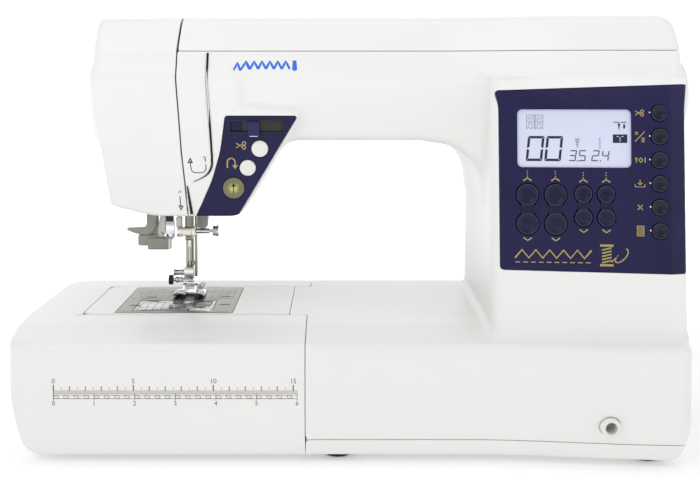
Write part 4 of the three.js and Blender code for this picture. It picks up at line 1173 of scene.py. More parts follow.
FREE_SIDE = Profile(
    [
        (FREE_LEFT, FREE_BOTTOM, 14), (30, FREE_BOTTOM), (30, BED_TOP), (FREE_LEFT, BED_TOP, 0.6),
    ]
)
FREE_PLAN = Profile(
    [
        (FREE_LEFT, FREE_FRONT, 10), (30, FREE_FRONT), (30, FREE_BACK), (FREE_LEFT, FREE_BACK, 10),
    ]
)
PLATE_LEFT, PLATE_RIGHT, PLATE_FRONT, PLATE_BACK = -169.0, -89.0, -28.5, 66.0


def free_field(x, y, z):
    return smooth_max(FREE_SIDE(x, z), FREE_PLAN(x, y), 0.8)


def free_region(x, y, z):
    hole = box_distance(
        x, y, z, (PLATE_LEFT, PLATE_FRONT, BED_TOP - 10), (PLATE_RIGHT, PLATE_BACK, None)
    )
    return np.maximum(x - ARM_SEAM, -hole)


def build_free_arm():
    source = surface(free_field, (FREE_LEFT - 5, FREE_FRONT - 5, FREE_BOTTOM - 5),
                     (ARM_SEAM + 4, FREE_BACK + 5, BED_TOP + 5), 2.0)
    piece("free_arm_shell", [skin(source, free_region, soften=0.22, seam=0.1)], WHITE, "machine",
          ["free_arm_cover"])


build_body()
build_table()
build_free_arm()

# ---- Control panel ---------------------------------------------------------------------------

across = unit(np.array([[1.0, -COLUMN_SWING / 107, 0]]))[0]
rise = np.array([0, COLUMN_LEAN / (ARM_CREASE - BED_TOP), 1.0])
panel_out = unit(np.cross(across, rise)[None])[0]
panel_up = np.cross(panel_out, across)
DISPLAY_X, DISPLAY_Z, DISPLAY_WIDTH, DISPLAY_HEIGHT = 132.3, 205.8, 71.0, 36.5
ROCKERS = [(102.8, 160.8, 7.2, 9.2), (120.4, 160.8, 7.2, 9.2), (137.8, 163.2, 5.8, 7.5),
           (152.0, 163.2, 5.8, 7.5)]
FUNCTION_KEYS = [(185.3, 222 - 14.85 * k) for k in range(6)]
KEY_RADIUS = 5.3


def on_panel(x, z, lift=0.0):
    """Drawn facing out of the control panel, at a place on it."""
    origin = np.array([x, column_front(x, z), z]) + panel_out * lift
    return ways(across, panel_up, panel_out, origin)


def rocker_distance(x, z, key, grow=0.0):
    cx, cz, radius, half = key
    ends = np.minimum(np.hypot(x - cx, z - cz - half), np.hypot(x - cx, z - cz + half)) - radius
    waist = np.maximum(np.abs(x - cx) - radius * 0.55, np.abs(z - cz) - half)
    return smooth_min(ends, waist, 2.0) - grow


def display_distance(x, z):
    dx = np.abs(x - DISPLAY_X) - DISPLAY_WIDTH / 2 + 3
    dz = np.abs(z - DISPLAY_Z) - DISPLAY_HEIGHT / 2 + 3
    return np.hypot(np.maximum(dx, 0), np.maximum(dz, 0)) + np.minimum(np.maximum(dx, dz), 0) - 3


def control_region(x, y, z):
    gaps = display_distance(x, z)
    for key in ROCKERS:
        gaps = np.minimum(gaps, rocker_distance(x, z, key))
    for cx, cz in FUNCTION_KEYS:
        gaps = np.minimum(gaps, np.hypot(x - cx, z - cz) - KEY_RADIUS + 0.1)
    return np.maximum(panel_region(x, y, z), -gaps)


def dished(radius, low, rim, dish, place, sides=48):
    """A round key with a raised rim and a shallow dish."""
    profile = [
        (0, low), (radius, low, 0.2), (radius, rim, 0.45), (radius - 1.5, rim - 0.15, 0.5),
        (radius * 0.55, rim - dish * 0.8, 2.0), (0, rim - dish),
    ]
    return turned(profile, place, sides)


def rim_ring(radius, high, place):
    """A fine raised ring round a key's dish."""
    profile = [(radius - 0.26, high - 0.4), (radius + 0.26, high - 0.4),
               (radius + 0.2, high + 0.1, 0.18), (radius - 0.2, high + 0.1, 0.18)]
    return turned(profile, place, 56)


def rocker_outline(key):
    """The figure-eight outline of a rocker key, round the origin."""
    _, _, radius, half = key
    neck = radius * 0.62
    lift = math.sqrt(radius**2 - neck**2)
    start = math.degrees(math.asin(min(1, lift / radius)))
    top = arc(0, half, radius - 0.35, -start, 180 + start, 36)
    bottom = arc(0, -half, radius - 0.35, 180 - start, 360 + start, 36)
    return np.array([*top, *bottom])


def build_panel():
    step = 1.0
    source = surface(body_field, (72, -94, 114), (212, -46, 250), step)
    shell = skin(source, control_region, wall=2.2, soften=0.3, seam=0.15)
    piece("control_panel_shell", [shell], NAVY, "machine", ["control_panel"])
    for i, key in enumerate(ROCKERS):
        cx, cz, radius, half = key
        parts = [plate([rocker_outline(key)], -4.5, 0.15, 0.5, on_panel(cx, cz))]
        for sign in (1, -1):
            place = on_panel(cx, cz + sign * half)
            parts.append(dished(radius - 0.35, -1.0, 1.0, 1.1, place))
            mark = [(-1.3, -0.7), (1.3, -0.7), (0, 0.9)] if sign > 0 else [
                (-1.5, -0.3), (1.5, -0.3), (1.5, 0.3), (-1.5, 0.3)
            ]
            shift = on_panel(cx, cz + sign * (half + radius * 0.12))
            parts.append(plate([mark], -0.3, 0.35, 0.12, shift))
        body = f"rocker_{i + 1}"
        piece(f"rocker_pad_{i + 1}", parts, ROCKER_NAVY, body, [f"rocker_key_{i + 1}"])
        # The rims take the lighter rim finish: partly the ring's own navy, partly painted
        # highlight.
        rims = [rim_ring(radius - 0.7, 0.92, on_panel(cx, cz + up)) for up in (half, -half)]
        piece(f"rocker_rim_highlight_{i + 1}", rims, KEY_RIM_HIGHLIGHT, body)
    for i, (cx, cz) in enumerate(FUNCTION_KEYS):
        parts = [dished(KEY_RADIUS - 0.3, -4.5, 1.1, 0.9, on_panel(cx, cz))]
        body = f"function_{i + 1}"
        piece(f"function_pad_{i + 1}", parts, KEY, body, [f"function_key_{i + 1}"])
        # The rim takes the lighter rim finish: partly the ring's own navy, partly painted
        # highlight.
        piece(f"function_rim_highlight_{i + 1}", [rim_ring(KEY_RADIUS - 0.62, 1.0, on_panel(cx, cz))],
              KEY_RIM_HIGHLIGHT, body)


def seven_segments(figure, width, height, thick, slant):
    """The strokes of a figure on a segment display, as (u, v) outlines."""
    lit = {
        "0": "abcdef", "2": "abged", "3": "abgcd", "4": "fgbc", "5": "afgcd",
    }[figure]
    w, h, t, g = width / 2, height / 2, thick, thick * 0.18
    bars = {
        "a": [(-w + g, h), (w - g, h), (w - t, h - t), (-w + t, h - t)],
        "d": [(-w + t, -h + t), (w - t, -h + t), (w - g, -h), (-w + g, -h)],
        "g": [(-w + t * 0.7, 0), (-w + t * 1.1, t / 2), (w - t * 1.1, t / 2), (w - t * 0.7, 0),
              (w - t * 1.1, -t / 2), (-w + t * 1.1, -t / 2)],
        "f": [(-w, h - g), (-w + t, h - t - g), (-w + t, t * 0.6), (-w, t * 0.2)],
        "b": [(w, h - g), (w, t * 0.2), (w - t, t * 0.6), (w - t, h - t - g)],
        "e": [(-w, -h + g), (-w, -t * 0.2), (-w + t, -t * 0.6), (-w + t, -h + t + g)],
        "c": [(w, -h + g), (w - t, -h + t + g), (w - t, -t * 0.6), (w, -t * 0.2)],
    }
    return [[(u + slant * v, v) for u, v in bars[name]] for name in lit]


def build_display():
    glass_depth = -1.3
    place = on_panel(DISPLAY_X, DISPLAY_Z, glass_depth)
    w, h = DISPLAY_WIDTH / 2 + 0.4, DISPLAY_HEIGHT / 2 + 0.4
    glass = sheet([(-w, -h, 3), (w, -h, 3), (w, h, 3), (-w, h, 3)], -3.0, 0, 0.2, place)
    piece("display_glass", [glass], LCD, "machine", [])
    board_place = on_panel(140, 180)
    board = sheet([(-45, -52, 2), (46, -52, 2), (46, 48, 2), (-45, 48, 2)], -14, -12.4, 0.1,
                  board_place)
    chips = [sheet([(u, v, 0.5), (u + a, v, 0.5), (u + a, v + b, 0.5), (u, v + b, 0.5)], -16.4,
                   -13.9, 0.2, board_place) for u, v, a,
             b in ((-20, -44, 20, 16), (6, -40, 9, 9), (20, -44, 14, 8), (-38, -20, 8, 14),
                   (30, 8, 10, 22))]
    piece("display_circuit_board", [board, *chips], BOARD, "machine", ["display_board"])

    def at(u, v):
        return on_panel(DISPLAY_X + u, DISPLAY_Z + v, glass_depth)

    dark = []
    for u in (-24.4, -12.7):
        dark += [plate([bar], 0, 0.1, 0, at(u, -6.5))
                 for bar in seven_segments("0", 10.4, 16.0, 1.55, 0.1)]
    for figure, u in (("3", -0.8), ("5", 5.2), ("2", 13.4), ("4", 19.6)):
        dark += [plate([bar], 0, 0.1, 0, at(u, -10.9))
                 for bar in seven_segments(figure, 4.4, 6.9, 0.62, 0.14)]
    dark += [plate([circle(0, 0, 0.45, 12)], 0, 0.1, 0, at(u, -14.2)) for u in (2.1, 16.4)]
    dark += strokes([[(-4, 0), (-0.6, 0)], [(0.4, 0), (4, 0)]], 0.5, at(28.8, 10.4))
    dark.append(sheet([(-0.7, -1.2), (0, -5.6), (0.7, -1.2, 0.5), (0.7, -0.6, 0.3),
                       (-0.7, -0.6, 0.3)], 0, 0.1, 0, at(28.2, 10.4)))
    dark.append(sheet([(-0.7, -3.6, 0.4), (0.7, -3.6, 0.4), (0.5, -0.8, 0.4), (-0.5, -0.8, 0.4)], 0,
                      0.1, 0, at(31.4, 10.0)))
    dark.append(plate([rectangle(-4.5, -2.7, 4.5, 2.7, 0.3)], 0, 0.1, 0, at(28.8, 0.0)))
    piece("display_figures", dark, LCD_DARK, "machine", [])
    pale = strokes([[(-2.2, 1.4), (-0.8, 1.4)], [(0.8, 1.4), (2.2, 1.4)], [(0, 1.0), (0, -1.9)]],
                   0.4, at(28.8, 0.0), 0.22, 0.1)
    piece("display_inner_symbol", pale, LCD, "machine", [])
    faint = []
    for k in range(6):
        faint += strokes([[(-0.15 - 0.25 * k, 0), (0.35 + 0.25 * k, 0.2)]], 0.55,
                         at(2.0, -6.0 + 1.1 * k))
    for k in range(5):
        faint += strokes([[(-0.4, 0), (0.4, 0)]], 0.75, at(16.2, -6.0 + 1.5 * k))
    for u in (-27.2, -21.8):
        box = [(-2.4, -4.4), (-1.2, -3.4), (0, -4.4), (1.2, -3.4), (2.4, -4.4), (2.4, 4.4),
               (-2.4, 4.4), (-2.4, -4.4)]
        faint += strokes([box], 0.28, at(u, 10.4))
        faint += strokes([[(-2.4, 0.4), (2.4, 0.4)]], 0.28, at(u, 10.4))
        faint += strokes([[(-1.4, 1.4), (-0.5, 3.4), (0.5, 1.4), (1.4, 3.4)]], 0.4, at(u, 10.4))
        faint += strokes([[(-1.0, -2.6), (-1.0, -0.6), (1.0, -0.6), (1.0, -2.6)]], 0.4, at(u, 10.4))
    piece("display_faint_symbols", faint, LCD_GREY, "machine", [])


def build_panel_print():
    gold, pale = [], []
    for cx, cz, radius, half in ROCKERS:
        top, bottom = cz + half + radius, cz - half - radius
        gold += strokes([[(-2.6, -1.0), (0, 0.8), (2.6, -1.0)]], 0.85, on_panel(cx, top + 2.6))
        gold += strokes([[(-2.6, 1.0), (0, -0.8), (2.6, 1.0)]], 0.85, on_panel(cx, bottom - 2.6))
        for k in range(3):
            gold.append(plate([circle(0, 0, 0.4, 12)], -0.1, 0.1, 0,
                              on_panel(cx, top + 4.5 + 1.55 * k)))
    for k, (cx, cz) in enumerate(FUNCTION_KEYS):
        pale.append(plate([circle(0, 0, 0.5, 16)], -0.3, 0.14, 0,
                          on_panel(cx - KEY_RADIUS - 0.7, cz + 0.4)))
        gold += key_symbol(k, on_panel(cx - 12.3, cz))
    gold += stitch_motif()
    piece("panel_symbols", gold, GOLD, "machine", [])
    piece("panel_lamps", pale, BUTTON, "machine", [])


def scissors(size):
    """Open scissors pointing left, as strokes."""
    s = size
    return [
        [(-2.2 * s, 1.1 * s), (0.6 * s, -0.5 * s)],
        [(-2.2 * s, -1.1 * s), (0.6 * s, 0.5 * s)],
        [*arc(1.45 * s, 0.95 * s, 0.78 * s, 0, 360, 17)],
        [*arc(1.45 * s, -0.95 * s, 0.78 * s, 0, 360, 17)],
    ]


def key_symbol(index, place):
    """Plain symbols beside the function keys: cut, stitch length, shape, store, clear, pattern."""
    if index == 0:
        lines = scissors(1.15)
    elif index == 1:
        lines = [[(-2.9, -3.2), (3.2, 3.2)], *([(-2.9, v), (-0.9, v)] for v in (1.5, 2.6)),
                 *([(1.1, v), (3.2, v)] for v in (-3.2, -2.1, -1.0))]
    elif index == 2:
        diamond = [(-0.7, 0), (0.6, 1.4), (1.9, 0), (0.6, -1.4), (-0.7, 0)]
        lines = [[(-2.2, -1.7), (-2.2, 1.7)], [(-3.1, 0.7), (-2.2, 1.7), (-1.3, 0.7)], diamond,
                 [(3.3, -1.7), (3.3, 1.7)]]
    elif index == 3:
        lines = [[(0, 2.4), (0, -0.6)], [(-1.4, 0.6), (0, -0.8), (1.4, 0.6)],
                 [(-3, -0.4), (-3, -2), (3, -2), (3, -0.4)]]
    elif index == 4:
        lines = [[(-1.6, -1.6), (1.6, 1.6)], [(-1.6, 1.6), (1.6, -1.6)]]
    else:
        lines = [[(-2, v), (2, v)] for v in (-3, -1.8, -0.6, 0.6, 1.8, 3)]
        lines += [[(-2, -3.4), (-2, 3.4)], [(2, -3.4), (2, 3.4)]]
    return strokes(lines, 0.6, place)


def stitch_motif():
    """A band of plain stitches and a spool of thread along the foot of the panel."""
    parts = []
    zigzag = [(4.35 * k - 2.2, 2.6 if k % 2 else -2.6) for k in range(12)]
    parts += strokes([zigzag], 1.15, on_panel(97, 132.6))
    dashes = [[(4.9 * k - 1.5, 0), (4.9 * k + 1.5, 0)] for k in range(10)]
    parts += strokes(dashes, 0.6, on_panel(96.5, 127.4))
    bars = [[(-4.2, 7.0), (4.2, 7.0)], [(-4.2, -5.4), (4.2, -5.4)]]
    parts += strokes(bars, 1.4, on_panel(152, 131.4))
    turns = [[(-3.0, v), (3.0, v + 1.5)] for v in (-3.9, -1.9, 0.1, 2.1, 4.1)]
    parts += strokes(turns, 0.95, on_panel(152, 131.4))
    loop = [(3.0 + 5.2 * t + 2.2 * math.sin(5.2 * t), -3.4 + 2.8 * t + 3.2 * math.sin(4.4 * t))
            for t in np.linspace(0, 1.9, 34)]
    parts += strokes([loop], 0.75, on_panel(152, 131.4))
    return parts


build_panel()
build_display()
build_panel_print()

# ---- Prints and inlays that follow a curved surface ------------------------------------------


def fine(line, step=2.5):
    """A line with more points between its own."""
    line = [np.array(point, float) for point in line]
    points = [line[0]]
    for a, b in zip(line, line[1:]):
        count = max(1, math.ceil(np.linalg.norm(b - a) / step))
        points += [a + (b - a) * k / count for k in range(1, count + 1)]
    return points


def hugging(parts, place, field=body_field):
    """Flat parts drawn at a place, bent to lie on a curved surface at their own heights."""
    bent = []
    for part in parts:
        height = part.points[:, 2]

        def level(x, y, z):
            return field(x, y, z) - height

        points = placed(part, place).points
        for _ in range(3):
            points = points - gradient(level, points, 0.5, scaled=True)
        bent.append(shaded(points, part.faces))
    return bent


def lines_on(lines, width, place, field=body_field, high=0.1):
    """Printed lines that follow a curved surface."""
    return hugging(strokes([fine(line) for line in lines], width, np.eye(4), high), place, field)


def tapering(line, widths, high=0.24):
    """A strip along a line whose width changes from point to point."""
    line = np.asarray(line, float)
    way = np.gradient(line, axis=0)
    way /= np.linalg.norm(way, axis=1, keepdims=True)
    aside = np.stack([-way[:, 1], way[:, 0]], 1) * np.asarray(widths)[:, None] / 2
    return plate([np.r_[line + aside, (line - aside)[::-1]]], -0.4, high, 0)


# ---- Head: thread slot, arrows, motif, panel and buttons -------------------------------------

head_up = unit(np.array([[0, -HEAD_LEAN / (ARM_CREASE + 8 - HEAD_BOTTOM), 1.0]]))[0]
head_out = np.cross((1, 0, 0), head_up)
SLIDER_X, SLIDER_Z, SLIDER_WIDTH, SLIDER_HEIGHT = -71.6, 212.0, 36.0, 8.0
TRIM, REVERSE, START_STOP = (-69.8, 197.2, 5.7), (-78.0, 184.3, 5.5), (-87.6, 170.6, 7.3)


def head_front(z):
    return ARM_FRONT + HEAD_LEAN * (ARM_CREASE + 8 - z) / (ARM_CREASE + 8 - HEAD_BOTTOM)


def on_head(x, z, lift=0.0):
    """Drawn facing out of the head's front, at a place on it."""
    return ways((1, 0, 0), head_up, head_out, np.array([x, head_front(z), z]) + head_out * lift)


SLOT_HIGH = 0.5  # the slot's strip of painted shade stands this far out, to clear the cover's own facets


def build_thread_slot():
    bend = [(-103.6, 262.2), (-104.1, 242), (-101.7, 190)]
    curve = arc(-113.7, 186.5, 12.0, 8, -62, 12)
    tail = [(-110.6, 174.6), (-114.4, 172.9)]
    line = np.array([*fine(bend), *curve, *tail])
    widths = np.full(len(line), 1.35)
    widths[-8:] = np.linspace(1.35, 0.3, 8)
    # A near-black strip laid on the cover along the thread slot: painted shade for the dark inside
    # the slot.
    slot = hugging([tapering(line, widths, SLOT_HIGH)], front(0, -45, 0))
    end = fine([(-118.6, 172), (-116.0, 152.5)])
    lower = hugging([tapering(end, np.linspace(0.9, 2.0, len(end)), SLOT_HIGH)], front(0, -30, 0))
    piece("thread_slot_painted_shade", slot + lower, HOLE_SHADE, "machine")


def build_head_prints():
    u_turn = [(-116.3, 188.5), (-116.0, 184.8), *arc(-112.6, 184.0, 3.4, 190, 270, 7)[1:]]
    u_turn += [*arc(-109.2, 184.0, 3.4, 270, 352, 7), (-105.9, 186.3)]
    tip = [(-117.6, 187.6), (-116.3, 190.4), (-115.0, 187.6), (-117.6, 187.6)]
    curl = [*arc(-107.0, 190.6, 1.0, 150, -80, 8), *arc(-107.0, 188.7, 0.9, 80, -60, 6)]
    down = [(-123.8, 164.5), (-123.3, 157.2)]
    point = [(-124.4, 157.6), (-123.2, 154.9), (-122.0, 157.4), (-124.4, 157.6)]
    squiggle = [(-124.8, 166.6), (-124.0, 167.9), (-123.4, 166.7), (-122.8, 168.6)]
    dark = lines_on([u_turn, down], 0.55,
                    front(0, -35, 0)) + lines_on([tip, point], 0.7, front(0, -35, 0))
    dark += lines_on([curl, squiggle], 0.42, front(0, -35, 0))
    piece("threading_arrows", dark, INK, "machine")
    band = []
    for k in range(7):
        x = -86 + 5.2 * k
        band += lines_on([[(x, 250.6), (x + 2.6, 255.8), (x + 5.2, 250.6)]], 1.5, front(0, -45, 0),
                         high=0.08)
    needle_shape = [(-47.6, 256.4), (-45.2, 256.4), (-44.6, 250.2), (-46.4, 249.2), (-48.0, 250.2)]
    band += hugging([plate([np.array(needle_shape)], -0.2, 0.08, 0)], front(0, -45, 0))
    piece("arm_motif", band, BLUE_INK, "machine")


def head_holes(x, z):
    gaps = np.maximum(np.abs(x - SLIDER_X) - SLIDER_WIDTH / 2,
                      np.abs(z - SLIDER_Z) - SLIDER_HEIGHT / 2)
    for cx, cz, radius in (TRIM, REVERSE, START_STOP):
        gaps = np.minimum(gaps, np.hypot(x - cx, z - cz) - radius)
    return gaps


def push_button(radius, swell=1.4):
    """A round button with a soft rim and a slightly domed face."""
    return turned([(0, -5), (radius, -5, 0.2), (radius, 0.9, 0.8), (radius * 0.5, swell, 6),
                   (0, swell)])


def build_head_panel():
    step = 1.0
    source = surface(body_field, (-118, -50, 146), (-32, -18, 226), step)

    def region(x, y, z):
        return np.maximum(head_panel_region(x, y, z), -head_holes(x, z))

    shell = skin(source, region, wall=2.2, soften=0.3, seam=0.15)
    w, h = SLIDER_WIDTH / 2 + 1, SLIDER_HEIGHT / 2 + 1
    tray = sheet([(-w, -h, 1), (w, -h, 1), (w, h, 1), (-w, h, 1)], -3.2, -1.9, 0.1)
    piece("head_panel_shell", [shell, placed(tray, on_head(SLIDER_X, SLIDER_Z))], NAVY, "machine",
          ["head_panel"])
    dark = sheet([(-9.5, -3.8, 0.4), (17.8, -3.8, 0.4), (17.8, 3.8, 0.4), (-9.5, 3.8, 0.4)],
                 -1.9, -1.6, 0.1, on_head(SLIDER_X, SLIDER_Z))
    rim = [(-18, -4), (-18, 4), (18, 4), (18, -4), (-18, -4)]
    edge = strokes([rim], 0.5, on_head(SLIDER_X, SLIDER_Z), 0.05)
    piece("slider_track", [dark, *edge], BLACK, "machine")
    place = on_head(SLIDER_X - 2, SLIDER_Z)
    knob_outline = [(-3.9, -6.6, 1), (3.9, -6.6, 1), (3.9, 3.7, 0.8), (-3.9, 3.7, 0.8)]
    knob = sheet(knob_outline, 0.3, 2.9, 0.8, place)
    ridge = sheet([(-3.6, 1.4, 0.3), (3.6, 1.4, 0.3), (3.6, 2.2, 0.3), (-3.6, 2.2, 0.3)],
                  2.8, 3.2, 0.15, place)
    stem = placed(block((-2, -1.4, -6), (2, 1.4, 1)), place)
    foot = placed(block((-4, -3.4, -7.4), (4, 3.4, -5.9)), place)
    piece("speed_slider_knob", [knob, ridge, stem, foot], SLIDE_NAVY, "slider", ["speed_slider"])
    # A pale glowing strip along the knob's lower lip: painted highlight.
    lip = strokes([[(-2.6, -6.0), (2.6, -6.0)]], 0.45, place, 3.0, 2.8)
    piece("speed_slider_lip_highlight", lip, LCD, "slider")
    for name, node, body, (x, z, radius) in (
        ("trim_button_cap", "thread_trim_button", "trim_button", TRIM),
        ("reverse_button_cap", "reverse_button", "reverse", REVERSE),
    ):
        piece(name, [placed(push_button(radius - 0.15), on_head(x, z))], BUTTON, body, [node])
    x, z, radius = START_STOP
    rim = [(0, -5), (radius - 0.15, -5, 0.2), (radius - 0.15, 1.0, 0.7), (radius - 1.2, 1.25, 0.4),
           (radius - 2.0, 1.0, 0.8), (radius * 0.4, 1.3, 5), (0, 1.3)]
    lit_from(START, on_head(x, z, 1.3)[:3, 3], 0, 4.6, (0.75, 0.8, 0.12), 0.6)
    piece("start_stop_cap", [turned(rim, on_head(x, z))], START, "start_stop",
          ["start_stop_button"])
    arrow = [(-0.35, -3.6), (0.35, -3.6), (0.35, 1.2), (1.7, 1.2), (0, 3.8), (-1.7, 1.2),
             (-0.35, 1.2)]
    piece("start_stop_arrow", [plate([np.array(arrow)], 1.1, 1.42, 0, on_head(x, z))], INK,
          "start_stop")
    gold = strokes(scissors(1.45), 0.62, on_head(-82.4, 199.4))
    hook = [(-2.6, -2.8), (-2.6, 1.2), *arc(0, 1.2, 2.6, 180, 0, 11), (2.6, -1.0)]
    gold += strokes([hook], 0.9, on_head(-89.0, 187.0))
    gold.append(plate([np.array([(0.6, -0.8), (2.6, -3.6), (4.6, -0.8)])], -0.2, 0.12, 0,
                      on_head(-89.0, 187.0)))
    piece("head_symbols", gold, GOLD, "machine")


build_thread_slot()
build_head_prints()
build_head_panel()

# ---- Rule printed along the front of the table -----------------------------------------------


def build_rule():
    place = front(0, BED_FRONT - 5, 0)
    start, level, inch = -195.8, 48.6, 25.4
    end = start + 6 * inch + 0.4

    def drawn(lines, width):
        return lines_on(lines, width, place, base_field, 0.07)

    ticks, thin = [], []
    for k in range(16):
        tall = 3.9 if k % 5 == 0 else 2.9
        ticks.append([(start + 10 * k, level + 0.1), (start + 10 * k, level + tall)])
    for k in range(15):
        thin.append([(start + 10 * k + 5, level + 0.2), (start + 10 * k + 5, level + 2.4)])
    dark = drawn(ticks[::5], 0.6) + drawn([t for k, t in enumerate(ticks) if k % 5], 0.45)
    rails = [[(start, level - v), (end, level - v)] for v in (0, 1.5, 2.6, 4.9)]
    dark += drawn([[(start, level), (start, level - 4.9)]], 0.35)
    piece("rule_marks", dark, INK, "table")
    grey = drawn(thin, 0.18) + drawn(rails, 0.25)
    for k in range(7):
        x = start + inch * k
        grey += drawn([[(x, level - 1.5), (x, level - 6.0)]], 0.25)
    for k in range(48):
        x = start + inch * k / 8
        low, high = (level - 4.9, level - 4.0) if k % 2 else (level - 3.4, level - 2.6)
        grey += drawn([[(x, low), (x, high)]], 0.22)
    for k in range(0, 48, 2):
        x = start + inch * k / 8 + 0.2
        ring = [(x, level - 3.0), (x + 2.7, level - 3.0), (x + 2.7, level - 4.5), (x, level - 4.5),
                (x, level - 3.0)]
        grey += drawn([ring], 0.2)
    piece("rule_lines", grey, GREY_INK, "table")
    piece("rule_red_line", drawn([[(start, level - 0.75), (end, level - 0.75)]], 0.2), RED_INK,
          "table")
    figures = []
    for k in (0, 5, 10, 15):
        figures += hugging([numerals(str(k), 4.2, flat(start + 10 * k, level + 6.1, 0), 0.07)],
                           place, base_field)
    for k in range(7):
        figures += hugging([numerals(str(k), 4.0, flat(start + inch * k, level - 7.9, 0), 0.07)],
                           place, base_field)
    piece("rule_figures", figures, GREY_INK, "table")


build_rule()

# ---- Needle, threader and presser ------------------------------------------------------------

NEEDLE_X, NEEDLE_Y = -125.0, 27.0
PRESSER_X, PRESSER_Y = -126.5, 41.0
HOOK_X, HOOK_Y = -125.0, 2.0


def knurled(radius, teeth, low, high, place, depth=0.22):
    """A round head with fine grooves round its edge."""
    angles = np.arange(teeth * 4) * 2 * math.pi / (teeth * 4)
    radii = radius - depth * (1 - np.cos(angles * teeth)) / 2
    outline = np.stack([radii * np.cos(angles), radii * np.sin(angles)], 1)
    return plate([outline], low, high, 0.3, place)


def rod(x0, x1, y, z, radius, chamfer=0.3, sides=32):
    """A round bar along x."""
    profile = [(0, x0), (radius, x0, chamfer), (radius, x1, chamfer), (0, x1)]
    return turned(profile, side(0, y, z), sides)


def upright(x, y, profile, sides=40):
    """A round piece about an upright axis, from (radius, z, corner radius) points."""
    return turned(profile, flat(x, y, 0), sides)


def build_needle():
    bar = [(0, 131.6), (2.7, 131.6, 0.2), (3.1, 132.2, 0.2), (3.1, 262, 0.6), (0, 262)]
    collar = [(3.05, 206), (4.7, 206, 0.5), (4.7, 216, 0.5), (3.05, 216)]
    stud = rod(NEEDLE_X, -116, NEEDLE_Y, 211, 2.0)
    piece("needle_bar_rod",
          [upright(NEEDLE_X, NEEDLE_Y, bar), upright(NEEDLE_X, NEEDLE_Y, collar), stud], DARK_STEEL,
          "needle_unit", ["needle_bar"])
    x, y = NEEDLE_X, NEEDLE_Y
    clamp = [
        block((x - 8.3, y - 5.6, 131.1), (x + 1.9, y + 4.6, 136.8), 0.7),
        block((x + 1.5, y - 4.4, 130.9), (x + 4.6, y + 4.2, 136.9), 0.5),
    ]
    neck = block((x - 2.6, y - 3.6, 127.6), (x + 2.2, y + 3.6, 131.4), 0.8)
    piece("needle_clamp_neck", [neck], DARK_STEEL, "needle_unit")
    piece("needle_clamp_block", clamp, IVORY_METAL, "needle_unit", ["needle_clamp"])
    guide = [
        block((x - 9.4, y - 2.6, 136.6), (x - 5.2, y + 2.6, 144.4), 0.7),
    ]
    piece("needle_bar_guide", guide, IVORY, "needle_unit")
    loop = [(x - 7.6, y - 5.4, 131.9), (x - 7.8, y - 8.0, 131.6), (x - 6.4, y - 8.8, 131.0),
            (x - 4.6, y - 8.2, 130.8), (x - 4.4, y - 6.4, 131.2)]
    piece("needle_thread_guide", [tube(loop, 0.42)], PLATED, "needle_unit")
    screw = [rod(-120.2, -110.4, y, 134, 1.9), rod(-110.6, -107.6, y, 134, 1.1),
             knurled(3.5, 30, -108, -104.6, side(0, y, 134), 0.12),
             knurled(4.0, 34, -105.2, -103.7, side(0, y, 134), 0.12)]
    piece("clamp_screw_knob", screw, PLATED, "clamp_knob", ["clamp_screw"])
    shank = [(0, 108), (0.28, 109.2), (0.5, 111), (0.5, 121), (1.0, 122.8, 0.3), (1.0, 130.8, 0.2),
             (0, 130.8)]
    # The needle's eye is filled with a near-black block: painted shade for the hole.
    eye = block((x - 0.16, y - 0.56, 111.4), (x + 0.16, y + 0.56, 113.0), 0.1)
    piece("needle_shaft", [upright(x, y, shank, 20)], PLATED, "needle_unit", ["needle"])
    piece("needle_eye_shade", [eye], HOLE_SHADE, "needle_unit")


def build_threader():
    y = NEEDLE_Y
    column = [(-155, 214), (-155, 130.5, 1), (-147.6, 130.5, 1), (-146.4, 214)]
    tab = [(-155, 150), (-155, 137.2, 3.5), (-168.9, 136.9, 0.5), (-169, 135.2, 0.8),
           (-163, 132.8, 8), (-152, 131.2, 6), (-148.6, 137, 9), (-146.6, 150)]
    grey = [
        sheet(column, -(y + 4), -(y - 2.8), 0.6, front()),
        sheet(tab, -(y - 1), -(y - 6), 0.8, front()),
        block((-161.4, y - 5, 123.9), (-147.4, y + 4, 131.9), 1.2),
        block((-154.2, y - 6.8, 121.3), (-139.0, y + 2, 129.7), 1.0),
    ]
    piece("threader_slide_body", grey, GREY, "threader", ["needle_threader"])
    wing = [(-145.4, 146), (-147.6, 136, 1), (-147.6, 129.5, 0.5), (-143.8, 129.5, 0.8),
            (-142.3, 134, 1), (-141.6, 146)]
    piece("threader_wing", [sheet(wing, -(y + 3.6), -(y - 2.6), 0.5, front())], IVORY, "threader")
    steel = [block((-141.9, y - 3.0, 131.6), (-135.4, y + 3.0, 141.6), 0.6),
             upright(-138.6, y,
                     [(0, 128.7), (2.5, 128.7, 0.4), (3.1, 130.2, 0.4), (3.1, 132), (0, 132)], 28),
             tube([(-144.6, y - 2.4, 133.6), (-142.6, y - 4.4, 130.6), (-139.4, y - 4.4, 129.6),
                   (-137.0, y - 2.6, 129.4)], 0.55),
             tube([(-140.6, y + 1.4, 129.2), (-138.4, y - 3.6, 128.4), (-136.4, y - 3.4, 128.9)],
                  0.4)]
    piece("threader_guide", steel, PLATED, "threader")
    edge = block((-139.4, y - 7.0, 121.6), (-137.7, y + 1.6, 129.4), 0.6)
    stem = block((-141.4, y - 2.2, 141.4), (-136.4, y + 2.2, 145.0), 0.3)
    piece("threader_edge", [edge], BUTTON, "threader")
    piece("threader_stem", [stem], BLACK, "threader")


def bent(part, start, rate):
    """Turned up towards the user, ahead of a place."""
    points = part.points.copy()
    points[:, 2] += rate * np.maximum(start - points[:, 1], 0) ** 2
    return shaded(points, part.faces)


